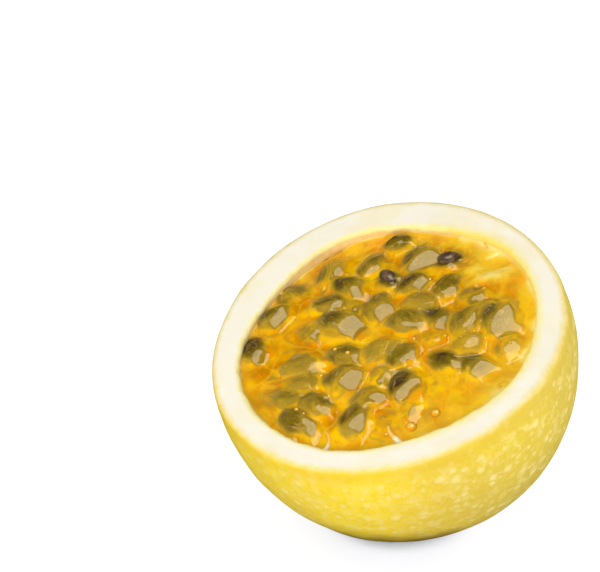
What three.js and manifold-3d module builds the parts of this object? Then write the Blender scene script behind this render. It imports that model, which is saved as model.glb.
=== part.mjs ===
// One half of a yellow passion fruit, cut across just past its middle. The rind is a thick cup:
// leathery skin outside, white pith inside. The pulp fills the cup: a bed of juice with the
// juice sacs raised from it, each of which holds one seed. The half leans on its round side
// and rests on a small flat spot. Millimetres, +Z up, origin at the middle of the flat spot.
import * as THREE from "three";
import { mergeVertices } from "three/addons/utils/BufferGeometryUtils.js";
import Module from "manifold-3d";

// Whole fruit, measured about its middle, with its long axis from pole to pole.
const FRUIT_RADIUS = 37;
const FRUIT_HALF_LENGTH = 40.5;
const CUT_PAST_MIDDLE = 6.6;
const RIND_THICKNESS = 6.7;
const SKIN_EDGE_ROUNDING = 1.3;
const PITH_EDGE_ROUNDING = 0.9;

// Slow swellings round the fruit. Each adds height * cos(lobes * angle - at) to the radius.
const SKIN_SWELLINGS = [
  { lobes: 2, height: 0.23, at: -117 },
  { lobes: 3, height: 0.41, at: -84 },
];
const CAVITY_SWELLINGS = [
  { lobes: 1, height: 1.2, at: -85 },
  { lobes: 2, height: 0.9, at: 43 },
  { lobes: 3, height: 0.7, at: -62 },
  { lobes: 4, height: 0.3, at: 66 },
  { lobes: 5, height: 0.6, at: 154 },
];

// The blossom end, at the pole under the cup: a shallow dimple with a small dry nub in it.
const DIMPLE_DEPTH = 0.9;
const DIMPLE_SPREAD = 0.11; // radians
const NUB_HEIGHT = 0.8;
const NUB_SPREAD = 0.03; // radians

// How the half lies: its axis leans this far from upright, towards this bearing from +X.
const LEAN = 21.2;
const LEAN_BEARING = -134.7;
const FLAT_SPOT_DEPTH = 1.0;

// The pulp stands this far inside the cup's wall and below the cut at its edge, and swells
// towards its middle. On one stretch it has pulled away from the rim and lies lower. Sacs may
// rise past the cut by no more than the headroom.
const WALL_GAP = 0.3;
const PULP_EDGE_DEPTH = 1.9;
const PULP_CROWN = 1.1;
const HEADROOM = 5;
const HOLLOW = { depth: 1.7, at: 118, spread: 26, width: 9 };

// The juice sacs that show at the cut, each as its x, y, heading and length. A sac's width and
// height are each a base plus a share of its length. Chance varies their sink and their pitch.
const SHOWN_SACS = [
  [4.2, 24.6, 0, 7.8],
  [9, 18.4, 34, 12.3],
  [14.7, 16.4, 15, 7.6],
  [-10.8, 20.7, 54, 11.1],
  [-1.8, 20.4, 51, 9.6],
  [2, 14, -53, 7.1],
  [6.3, 11.7, 12, 9.2],
  [13.5, 8.7, 61, 9.5],
  [7.5, 5.9, 0, 10],
  [-6.8, 14.6, -57, 10.6],
  [-11, 10.6, -26, 10.7],
  [-18.8, 17.1, 23, 9.9],
  [-22.8, 10.8, 42, 9.4],
  [-1.1, 6.9, 67, 10.8],
  [-9.4, 4.1, -30, 14.4],
  [4.7, 1, -5, 11.7],
  [11, 0.4, -33, 10.6],
  [16.4, -2, 55, 11.4],
  [23.1, -3.6, 75, 14.2],
  [-27.2, 2.8, 86, 10],
  [-17.4, -4.5, -20, 12.8],
  [-17.6, -9.1, -22, 11.6],
  [-8.5, -4.2, -25, 10.8],
  [-1.6, -5, 15, 9.9],
  [3.1, -7.6, 31, 8.9],
  [11.4, -11, -27, 8.4],
  [17.4, -14, -36, 10.5],
  [16.1, -7.9, 25, 9.1],
  [-9.1, -10.6, 17, 10.6],
  [3.2, -15.5, 75, 12.2],
  [-4.1, -16.7, 33, 10],
  [-7.2, -21.4, 52, 12.4],
  [-20.8, -12, -31, 10.3],
  [-14.8, -16, -39, 10.6],
  [-19.2, -19.2, -53, 11.3],
  [8.7, -4, -2, 8.7],
];
const SAC_WIDTH = { base: 3.2, share: 0.37 };
const SAC_HEIGHT = { base: 3.4, share: 0.2 };
const SAC_SINK = 1.0;
const SAC_SINK_SPREAD = 0.6;
const SAC_PITCH_SPREAD = 12;

// Lower sacs fill the gaps between those, in a sunflower pattern that leaves out whatever comes
// too near another sac or lies in a pool of clear juice.
const FILLER_COUNT = 90;
const FILLER_FIELD_RADIUS = 27;
const FILLER_CLEARANCE = 5;
const FILLER_LENGTH = 8.6;
const FILLER_SINK = 1.8;
const JUICE_POOLS = [
  { x: 24.5, y: 10.5, radius: 6.5 },
  { x: 14, y: -21, radius: 6.5 },
  { x: -20, y: 3.5, radius: 4.5 },
];

const SAC_SIDES = 12;
const SAC_RINGS = 7;
const FIRST_SEED = 2027;

// Mesh fineness.
const AROUND = 72;
const SKIN_RINGS = 17;
const WALL_RINGS = 11;
const EDGE_STEPS = 3;
const PULP_TOP_RINGS = 8;

const DEGREE = Math.PI / 180;
const GOLDEN_ANGLE = Math.PI * (3 - Math.sqrt(5));

const wasm = await Module();
wasm.setup();

/** Numbers from 0 to 1 that come out the same on each run. */
function chanceFrom(seed) {
  let state = seed;
  return () => {
    state = (state * 16807) % 2147483647;
    return state / 2147483647;
  };
}

/** What a list of swellings adds to the radius at an angle round the fruit. */
function swell(swellings, angle) {
  return swellings.reduce(
    (sum, s) => sum + s.height * Math.cos(s.lobes * angle - s.at * DEGREE),
    0,
  );
}

/** Distance from the fruit's middle to its skin, at an angle from the lower pole. */
function skinReach(polar) {
  const a = FRUIT_RADIUS;
  const c = FRUIT_HALF_LENGTH;
  const oval = (a * c) / Math.hypot(c * Math.sin(polar), a * Math.cos(polar));
  const dimple = DIMPLE_DEPTH * Math.exp(-((polar / DIMPLE_SPREAD) ** 2));
  const nub = NUB_HEIGHT * Math.exp(-((polar / NUB_SPREAD) ** 2));
  return oval - dimple + nub;
}

/** Distance from the fruit's middle to the cavity's wall, or to a surface inset from it. */
function wallReach(polar, inset = 0) {
  const a = FRUIT_RADIUS - RIND_THICKNESS - inset;
  const c = FRUIT_HALF_LENGTH - RIND_THICKNESS - inset;
  return (a * c) / Math.hypot(c * Math.sin(polar), a * Math.cos(polar));
}

/** A point of a profile: radius, height, and how much it follows the cavity's swellings. */
function profilePoint(reach, polar, cavity) {
  return { r: reach * Math.sin(polar), z: -reach * Math.cos(polar), cavity };
}

/** The polar angle at which a surface passes a height. */
function polarAt(height, reachOf) {
  let polar = Math.PI / 2;
  for (let i = 0; i < 20; i++) polar = Math.acos(-height / reachOf(polar));
  return polar;
}

/** Points on a curve that rounds off a corner between two neighbours. */
function roundedCorner(before, corner, after, radius) {
  const towards = (end) => {
    const length = Math.hypot(end.r - corner.r, end.z - corner.z);
    const t = radius / length;
    return {
      r: corner.r + (end.r - corner.r) * t,
      z: corner.z + (end.z - corner.z) * t,
    };
  };
  const start = towards(before);
  const end = towards(after);
  const points = [];
  for (let i = 0; i <= EDGE_STEPS; i++) {
    const t = i / EDGE_STEPS;
    const mix = (k) =>
      (1 - t) ** 2 * start[k] + 2 * t * (1 - t) * corner[k] + t ** 2 * end[k];
    points.push({ r: mix("r"), z: mix("z"), cavity: corner.cavity });
  }
  return points;
}

/** The rind's profile, from the lower pole up the skin, over the cut and down the wall. */
function rindProfile() {
  const skinEnd = polarAt(CUT_PAST_MIDDLE, skinReach);
  const wallStart = polarAt(CUT_PAST_MIDDLE, wallReach);
  const skinCorner = profilePoint(skinReach(skinEnd), skinEnd, 0);
  const pithCorner = profilePoint(wallReach(wallStart), wallStart, 1);
  const skin = [];
  for (let i = 0; i < SKIN_RINGS; i++) {
    // Rings crowd towards the pole, where the dimple is.
    const polar = skinEnd * (i / SKIN_RINGS) ** 1.35;
    skin.push(profilePoint(skinReach(polar), polar, 0));
  }
  const wall = [];
  for (let i = WALL_RINGS - 1; i >= 0; i--) {
    const polar = (wallStart * i) / WALL_RINGS;
    wall.push(profilePoint(wallReach(polar), polar, 1));
  }
  return [
    ...skin,
    ...roundedCorner(
      skin.at(-1),
      skinCorner,
      pithCorner,
      SKIN_EDGE_ROUNDING,
    ),
    ...roundedCorner(skinCorner, pithCorner, wall[0], PITH_EDGE_ROUNDING),
    ...wall,
  ];
}

/** How far the pulp's bed lies below the cut, at a place on it. */
function pulpDepth(radius, angle) {
  const edge = wallReach(Math.PI / 2, WALL_GAP);
  const crown = PULP_CROWN * (1 - (radius / edge) ** 2);
  let turn = angle / DEGREE - HOLLOW.at;
  turn -= 360 * Math.round(turn / 360);
  const across = Math.exp(-((turn / HOLLOW.spread) ** 2));
  const inwards = Math.exp(-(((edge - radius) / HOLLOW.width) ** 2));
  return PULP_EDGE_DEPTH - crown + HOLLOW.depth * across * inwards;
}

/** The pulp bed's profile: down at the pole, up inside the wall, and in across the top. */
function pulpProfile() {
  const reachOf = (polar) => wallReach(polar, WALL_GAP);
  const top = polarAt(CUT_PAST_MIDDLE - PULP_EDGE_DEPTH, reachOf);
  const points = [];
  for (let i = 0; i <= WALL_RINGS; i++) {
    const polar = (top * i) / WALL_RINGS;
    points.push(profilePoint(reachOf(polar), polar, 1));
  }
  const edge = points.at(-1).r;
  for (let i = PULP_TOP_RINGS - 1; i >= 0; i--) {
    points.push({ r: (edge * i) / PULP_TOP_RINGS, cavity: 1, onTop: true });
  }
  return points;
}

/** The room that the pulp may fill: the cavity less its gap, carried on past the cut. */
function pulpRoomProfile(headroom) {
  const points = pulpProfile().filter((p) => !p.onTop);
  const edge = points.at(-1);
  return [
    ...points,
    { r: edge.r, z: CUT_PAST_MIDDLE + headroom, cavity: 1 },
    { r: 0, z: CUT_PAST_MIDDLE + headroom, cavity: 1 },
  ];
}

/** Turns a profile round the fruit's axis, with the swellings, into one closed surface. */
function revolve(profile) {
  const positions = [];
  const indices = [];
  const last = profile.length - 1;
  profile.forEach((p, ring) => {
    const count = ring === 0 || ring === last ? 1 : AROUND;
    for (let i = 0; i < count; i++) {
      const angle = (2 * Math.PI * i) / AROUND;
      const swelling =
        (1 - p.cavity) * swell(SKIN_SWELLINGS, angle) +
        p.cavity * swell(CAVITY_SWELLINGS, angle);
      const r = p.r + swelling * (p.r / FRUIT_RADIUS) ** 2;
      const z = p.onTop ? CUT_PAST_MIDDLE - pulpDepth(r, angle) : p.z;
      positions.push(r * Math.cos(angle), r * Math.sin(angle), z);
    }
  });
  const start = (ring) => (ring === 0 ? 0 : 1 + (ring - 1) * AROUND);
  for (let i = 0; i < AROUND; i++) {
    const next = (i + 1) % AROUND;
    indices.push(0, start(1) + next, start(1) + i);
    for (let ring = 1; ring < last - 1; ring++) {
      const low = start(ring);
      const high = start(ring + 1);
      indices.push(low + i, low + next, high + next);
      indices.push(low + i, high + next, high + i);
    }
    indices.push(start(last - 1) + i, start(last - 1) + next, start(last));
  }
  const geometry = new THREE.BufferGeometry();
  geometry.setAttribute(
    "position",
    new THREE.Float32BufferAttribute(positions, 3),
  );
  geometry.setIndex(indices);
  return geometry;
}

/** Where the lower sacs lie, in the gaps that are left between the shown ones. */
function fillerSpots(shown) {
  const spots = [];
  for (let i = 0; i < FILLER_COUNT; i++) {
    const angle = i * GOLDEN_ANGLE;
    const radius = FILLER_FIELD_RADIUS * Math.sqrt((i + 0.5) / FILLER_COUNT);
    const x = radius * Math.cos(angle);
    const y = radius * Math.sin(angle);
    const apart = (other) => Math.hypot(x - other.x, y - other.y);
    const crowded = [...shown, ...spots].some(
      (other) => apart(other) < FILLER_CLEARANCE,
    );
    const inPool = JUICE_POOLS.some((pool) => apart(pool) < pool.radius);
    if (!crowded && !inPool) spots.push({ x, y });
  }
  return spots;
}

/** Every juice sac: its place, its heading, its pitch and its sizes. */
function sacs() {
  const chance = chanceFrom(FIRST_SEED);
  const spread = (amount) => (chance() * 2 - 1) * amount;
  const sacAt = (x, y, heading, length, level) => {
    const sink = level + spread(SAC_SINK_SPREAD);
    const depth = pulpDepth(Math.hypot(x, y), Math.atan2(y, x)) + sink;
    return {
      x,
      y,
      z: CUT_PAST_MIDDLE - depth,
      heading: heading * DEGREE,
      pitch: spread(SAC_PITCH_SPREAD) * DEGREE,
      length,
      width: SAC_WIDTH.base + SAC_WIDTH.share * length,
      height: SAC_HEIGHT.base + SAC_HEIGHT.share * length,
    };
  };
  const shown = SHOWN_SACS.map(([x, y, heading, length]) =>
    sacAt(x, y, heading, length, SAC_SINK),
  );
  const fillers = fillerSpots(shown).map(({ x, y }) =>
    sacAt(x, y, chance() * 180, FILLER_LENGTH, FILLER_SINK),
  );
  return [...shown, ...fillers];
}

/** One juice sac as a plain rounded body. */
function sacGeometry(sac) {
  const geometry = new THREE.SphereGeometry(0.5, SAC_SIDES, SAC_RINGS);
  geometry.scale(sac.length, sac.width, sac.height);
  geometry.rotateY(sac.pitch);
  geometry.rotateZ(sac.heading);
  geometry.translate(sac.x, sac.y, sac.z);
  return geometry;
}

/** Stands a geometry of the upright fruit in its leaning place over the flat spot. */
function lean(geometry) {
  const tilt = LEAN * DEGREE;
  const bearing = LEAN_BEARING * DEGREE;
  const up = new THREE.Vector3(0, 0, 1);
  const axis = new THREE.Vector3(
    Math.sin(tilt) * Math.cos(bearing),
    Math.sin(tilt) * Math.sin(bearing),
    Math.cos(tilt),
  );
  const lowest = Math.hypot(
    FRUIT_RADIUS * Math.sin(tilt),
    FRUIT_HALF_LENGTH * Math.cos(tilt),
  );
  geometry.applyQuaternion(new THREE.Quaternion().setFromUnitVectors(up, axis));
  geometry.translate(0, 0, lowest - FLAT_SPOT_DEPTH);
  return geometry;
}

/** A closed geometry as a solid that can be cut and joined. */
function solidOf(geometry) {
  const bare = geometry.clone();
  bare.deleteAttribute("normal");
  bare.deleteAttribute("uv");
  const merged = mergeVertices(bare, 1e-4);
  return new wasm.Manifold(
    new wasm.Mesh({
      numProp: 3,
      vertProperties: new Float32Array(merged.attributes.position.array),
      triVerts: new Uint32Array(merged.index.array),
    }),
  );
}

/** A solid's surface as a geometry. */
function geometryOf(solid) {
  const { vertProperties, triVerts, numProp } = solid.getMesh();
  const positions = [];
  for (let i = 0; i < vertProperties.length; i += numProp) {
    positions.push(...vertProperties.slice(i, i + 3));
  }
  const geometry = new THREE.BufferGeometry();
  geometry.setAttribute(
    "position",
    new THREE.Float32BufferAttribute(positions, 3),
  );
  geometry.setIndex([...triVerts]);
  geometry.computeVertexNormals();
  return geometry;
}

/** The rind: skin and pith grown as one cup, flattened where it rests. */
function makeRind() {
  const size = 4 * FRUIT_RADIUS;
  const ground = new THREE.BoxGeometry(size, size, size);
  ground.translate(0, 0, -size / 2);
  return solidOf(lean(revolve(rindProfile()))).subtract(solidOf(ground));
}

/** The pulp: the bed of juice with the sacs joined to it, kept inside the cavity. */
function makePulp() {
  const room = solidOf(revolve(pulpRoomProfile(HEADROOM)));
  let pulp = solidOf(revolve(pulpProfile()));
  for (const sac of sacs()) pulp = pulp.add(solidOf(sacGeometry(sac)));
  return solidOf(lean(geometryOf(pulp.intersect(room))));
}

/** A named mesh with its own material. */
function node(name, solid, color, roughness) {
  const material = new THREE.MeshStandardMaterial({
    color,
    roughness,
    metalness: 0,
  });
  const mesh = new THREE.Mesh(geometryOf(solid), material);
  mesh.name = name;
  return mesh;
}

const fruit = new THREE.Group();
fruit.name = "passion_fruit_half";
fruit.add(node("rind", makeRind(), 0xe6cf4e, 0.5));
fruit.add(node("pulp", makePulp(), 0xe59a12, 0.15));

export default fruit;
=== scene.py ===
"""Half a yellow passion fruit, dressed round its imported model.

The rind is one thick cup, with a waxy flecked skin outside and white pith inside. The pulp
fills it: a bed of juice with the juice sacs raised from it and a seed in each. Threads hold
the outer sacs to the wall, and a few bubbles sit in the juice. Shapes are worked out upright,
in millimetres, about the middle of the whole fruit, and are then leaned over their flat spot.
"""

import logging
import math
from dataclasses import dataclass, field
from enum import Enum
from typing import Callable, Iterable, Sequence

import bpy
import numpy as np
from mathutils import Matrix, Vector


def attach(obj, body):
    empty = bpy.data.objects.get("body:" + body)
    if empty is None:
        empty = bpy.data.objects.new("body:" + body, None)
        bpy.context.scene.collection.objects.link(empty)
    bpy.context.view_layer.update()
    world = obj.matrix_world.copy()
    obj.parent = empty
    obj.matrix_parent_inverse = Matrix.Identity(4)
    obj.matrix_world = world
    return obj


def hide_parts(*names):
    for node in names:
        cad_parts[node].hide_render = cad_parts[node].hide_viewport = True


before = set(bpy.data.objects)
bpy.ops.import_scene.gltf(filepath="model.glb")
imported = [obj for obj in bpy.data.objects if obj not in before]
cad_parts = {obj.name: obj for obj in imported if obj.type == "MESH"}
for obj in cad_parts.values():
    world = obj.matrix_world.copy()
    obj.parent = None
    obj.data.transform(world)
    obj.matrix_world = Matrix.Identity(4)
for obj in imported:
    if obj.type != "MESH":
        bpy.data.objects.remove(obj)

LOG = logging.getLogger("passion_fruit_half")
MM = 0.001
DEGREE = math.pi / 180
GOLDEN_ANGLE = math.pi * (3 - math.sqrt(5))

Array = np.ndarray
Colour = tuple[float, float, float, float]
Triple = tuple[float, float, float]
Band = tuple[float, float]


class Node(Enum):
    """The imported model's nodes."""

    RIND = "rind"
    PULP = "pulp"


class Slot(Enum):
    """Material slot names."""

    RIND = "rind"
    PULP = "pulp"
    SEED = "seed"


class Kind(Enum):
    """Types of the inputs of a geometry tree."""

    COUNT = "NodeSocketInt"
    AMOUNT = "NodeSocketFloat"


class Values(Enum):
    """Types of what a mesh holds for each of its points."""

    NUMBER = "FLOAT"
    VECTOR = "FLOAT_VECTOR"


BODY = "root"


# ---------------------------------------------------------------- the fruit's form


@dataclass(frozen=True)
class Swelling:
    """A slow swelling round the fruit, which adds height * cos(lobes * angle - at)."""

    lobes: int
    height: float
    at: float


@dataclass(frozen=True)
class Hollow:
    """A stretch of the rim where the pulp has pulled away and lies lower."""

    depth: float = 1.7
    at: float = 118.0
    spread: float = 26.0
    width: float = 9.0


@dataclass(frozen=True)
class FruitForm:
    """The form that the rind and the pulp share, in millimetres and degrees."""

    radius: float = 37.0
    half_length: float = 40.5
    cut: float = 6.6
    rind: float = 6.7
    wall_gap: float = 0.3
    dimple_depth: float = 0.9
    dimple_spread: float = 0.11
    nub_height: float = 0.8
    nub_spread: float = 0.03
    lean: float = 21.2
    bearing: float = -134.7
    flat_depth: float = 1.0
    edge_depth: float = 1.9
    crown: float = 1.1
    hollow: Hollow = Hollow()
    skin_swellings: tuple[Swelling, ...] = (
        Swelling(2, 0.23, -117.0),
        Swelling(3, 0.41, -84.0),
    )
    cavity_swellings: tuple[Swelling, ...] = (
        Swelling(1, 1.2, -85.0),
        Swelling(2, 0.9, 43.0),
        Swelling(3, 0.7, -62.0),
        Swelling(4, 0.3, 66.0),
        Swelling(5, 0.6, 154.0),
    )

    @staticmethod
    def swell(swellings: Iterable[Swelling], angle: Array) -> Array:
        """What a list of swellings adds to the radius at an angle round the fruit."""
        return sum(s.height * np.cos(s.lobes * angle - s.at * DEGREE) for s in swellings)

    def skin_reach(self, polar: Array) -> Array:
        """Distance from the middle of the whole fruit to the skin.

        Args:
            polar: Angle from the lower pole, in radians.

        Returns:
            The distance in millimetres.
        """
        a, c = self.radius, self.half_length
        oval = a * c / np.hypot(c * np.sin(polar), a * np.cos(polar))
        dimple = self.dimple_depth * np.exp(-((polar / self.dimple_spread) ** 2))
        nub = self.nub_height * np.exp(-((polar / self.nub_spread) ** 2))
        return oval - dimple + nub

    def wall_reach(self, polar: Array, inset: float = 0.0) -> Array:
        """Distance from the middle to the cavity's wall, or to a surface inset from it.

        Args:
            polar: Angle from the lower pole, in radians.
            inset: How far inside the wall the surface lies, in millimetres.

        Returns:
            The distance in millimetres.
        """
        a = self.radius - self.rind - inset
        c = self.half_length - self.rind - inset
        return a * c / np.hypot(c * np.sin(polar), a * np.cos(polar))

    @staticmethod
    def polar_at(height: float, reach_of: Callable[[float], float], rounds: int = 20) -> float:
        """The polar angle at which a surface passes a height.

        Args:
            height: Height over the middle of the whole fruit, in millimetres.
            reach_of: Gives the surface's distance from the middle at a polar angle.
            rounds: How often the angle is worked out anew from the distance there.

        Returns:
            The angle from the lower pole, in radians.
        """
        polar = math.pi / 2
        for _ in range(rounds):
            polar = math.acos(-height / float(reach_of(polar)))
        return polar

    def swollen(self, radius: Array, angle: Array, cavity: Array) -> Array:
        """A radius with the swellings added.

        Args:
            radius: Distance from the fruit's axis.
            angle: Angle round the axis.
            cavity: 0 where the point follows the skin's swellings, 1 the cavity's.

        Returns:
            The swollen radius.
        """
        swelling = (1 - cavity) * self.swell(self.skin_swellings, angle)
        swelling = swelling + cavity * self.swell(self.cavity_swellings, angle)
        return radius + swelling * (radius / self.radius) ** 2

    def pulp_depth(self, radius: Array, angle: Array) -> Array:
        """How far the pulp's bed lies below the cut.

        Args:
            radius: Distance from the fruit's axis.
            angle: Angle round the axis.

        Returns:
            The depth in millimetres.
        """
        edge = float(self.wall_reach(math.pi / 2, self.wall_gap))
        crown = self.crown * (1 - (radius / edge) ** 2)
        turn = angle / DEGREE - self.hollow.at
        turn = turn - 360 * np.round(turn / 360)
        across = np.exp(-((turn / self.hollow.spread) ** 2))
        inwards = np.exp(-(((edge - radius) / self.hollow.width) ** 2))
        return self.edge_depth - crown + self.hollow.depth * across * inwards

    def axis(self) -> Vector:
        """The direction of the fruit's axis, out of the cut face.

        Returns:
            The direction, of length 1.
        """
        tilt, bearing = self.lean * DEGREE, self.bearing * DEGREE
        flat = math.sin(tilt)
        return Vector((flat * math.cos(bearing), flat * math.sin(bearing), math.cos(tilt)))

    def turn(self) -> Matrix:
        """The turn that leans the upright fruit."""
        return Vector((0, 0, 1)).rotation_difference(self.axis()).to_matrix()

    def middle(self) -> Vector:
        """Where the middle of the whole fruit stands, in millimetres.

        Returns:
            The middle, straight over the origin.
        """
        tilt = self.lean * DEGREE
        lowest = math.hypot(self.radius * math.sin(tilt), self.half_length * math.cos(tilt))
        return Vector((0, 0, lowest - self.flat_depth))

    def stand(self, points: Array) -> Array:
        """Points of the upright fruit in millimetres, leaned in their place in metres."""
        turned = points @ np.array(self.turn()).T
        return (turned + np.array(self.middle())) * MM

    def rim_centre(self) -> Vector:
        """The middle of the cut face in the row frame, in metres."""
        return (self.middle() + self.axis() * self.cut) * MM


class Chance:
    """Numbers from 0 to 1 that come out the same on each run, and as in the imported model."""

    STEP = 16807
    TOP = 2147483647

    def __init__(self, seed: int) -> None:
        """Starts the row of numbers at a seed."""
        self.state = seed

    def __call__(self) -> float:
        """The next number."""
        self.state = self.state * self.STEP % self.TOP
        return self.state / self.TOP

    def spread(self, amount: float) -> float:
        """A number from -amount to amount."""
        return (self() * 2 - 1) * amount


class Ripple:
    """Smooth noise from -1 to 1 that is the same on each run."""

    SIDE = 32
    ORIGIN = SIDE * 8

    def __init__(self, seed: int, cell: float) -> None:
        """Makes the noise.

        Args:
            seed: Which noise.
            cell: Its grain in millimetres.
        """
        self.cell = cell
        self.table = np.random.default_rng(seed).uniform(-1, 1, (self.SIDE,) * 3)

    def __call__(self, x: Array, y: Array, z: Array | float = 0.0) -> Array:
        """The noise at points.

        Args:
            x: The points' places in millimetres.
            y: The same.
            z: The same.

        Returns:
            The noise at each point, from -1 to 1.
        """
        corner, share = [], []
        for value in (x, y, z):
            scaled = np.asarray(value, float) / self.cell + self.ORIGIN
            low = np.floor(scaled).astype(int)
            t = scaled - low
            corner.append(low)
            share.append(t * t * t * (t * (t * 6 - 15) + 10))
        total = 0.0
        for bits in range(8):
            weight, index = 1.0, []
            for axis in range(3):
                far = bits >> axis & 1
                index.append((corner[axis] + far) % self.SIDE)
                weight = weight * (share[axis] if far else 1 - share[axis])
            total = total + weight * self.table[index[0], index[1], index[2]]
        return total


def smooth_step(low: float, high: float, value: Array) -> Array:
    """0 below low, 1 above high and a smooth rise between."""
    t = np.clip((value - low) / (high - low), 0, 1)
    return t * t * (3 - 2 * t)


def smooth_max(a: Array, b: Array, width: float) -> Array:
    """The higher of two surfaces, with a fillet of about this width where they meet."""
    near = np.maximum(width - np.abs(a - b), 0) / width
    return np.maximum(a, b) + near * near * width / 4


# ---------------------------------------------------------------- meshes


def mesh_object(
    name: str,
    points: Array,
    faces: Sequence[Sequence[int]],
    layers: dict[str, Array] | None = None,
    edges: Sequence[tuple[int, int]] = (),
) -> bpy.types.Object:
    """A smooth mesh object at the origin.

    Args:
        name: The piece's name.
        points: Its points in metres.
        faces: The corners of each face.
        layers: Numbers, or rows of three, for each point, which materials and trees read.
        edges: The ends of each loose edge.

    Returns:
        The object, linked to the scene.
    """
    mesh = bpy.data.meshes.new(name)
    mesh.from_pydata(points.tolist(), edges, faces)
    mesh.update()
    mesh.shade_smooth()
    for layer, values in (layers or {}).items():
        values = np.asarray(values, np.float32)
        kind, entry = Values.NUMBER, "value"
        if values.ndim == 2:
            kind, entry = Values.VECTOR, "vector"
        attribute = mesh.attributes.new(layer, kind.value, "POINT")
        attribute.data.foreach_set(entry, values.reshape(-1))
    piece = bpy.data.objects.new(name, mesh)
    bpy.context.scene.collection.objects.link(piece)
    return piece


def made_plain(piece: bpy.types.Object) -> bpy.types.Object:
    """The piece with its modifiers worked into its mesh.

    Args:
        piece: The piece.

    Returns:
        The same piece, without modifiers.
    """
    depsgraph = bpy.context.evaluated_depsgraph_get()
    result = bpy.data.meshes.new_from_object(piece.evaluated_get(depsgraph))
    piece.modifiers.clear()
    piece.data = result
    result.name = piece.name
    return piece


def triangles(piece: bpy.types.Object) -> int:
    """How many triangles a piece has."""
    piece.data.calc_loop_triangles()
    return len(piece.data.loop_triangles)


# ---------------------------------------------------------------- shader and geometry graphs


def srgb(red: float, green: float, blue: float) -> Colour:
    """A colour given in screen values from 0 to 255.

    Args:
        red: The screen value of red.
        green: That of green.
        blue: That of blue.

    Returns:
        The colour in linear values, with an alpha of 1.
    """
    def linear(value: float) -> float:
        """One screen value as linear light."""
        share = value / 255
        return share / 12.92 if share <= 0.04045 else ((share + 0.055) / 1.055) ** 2.4
    return (linear(red), linear(green), linear(blue), 1.0)


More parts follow.
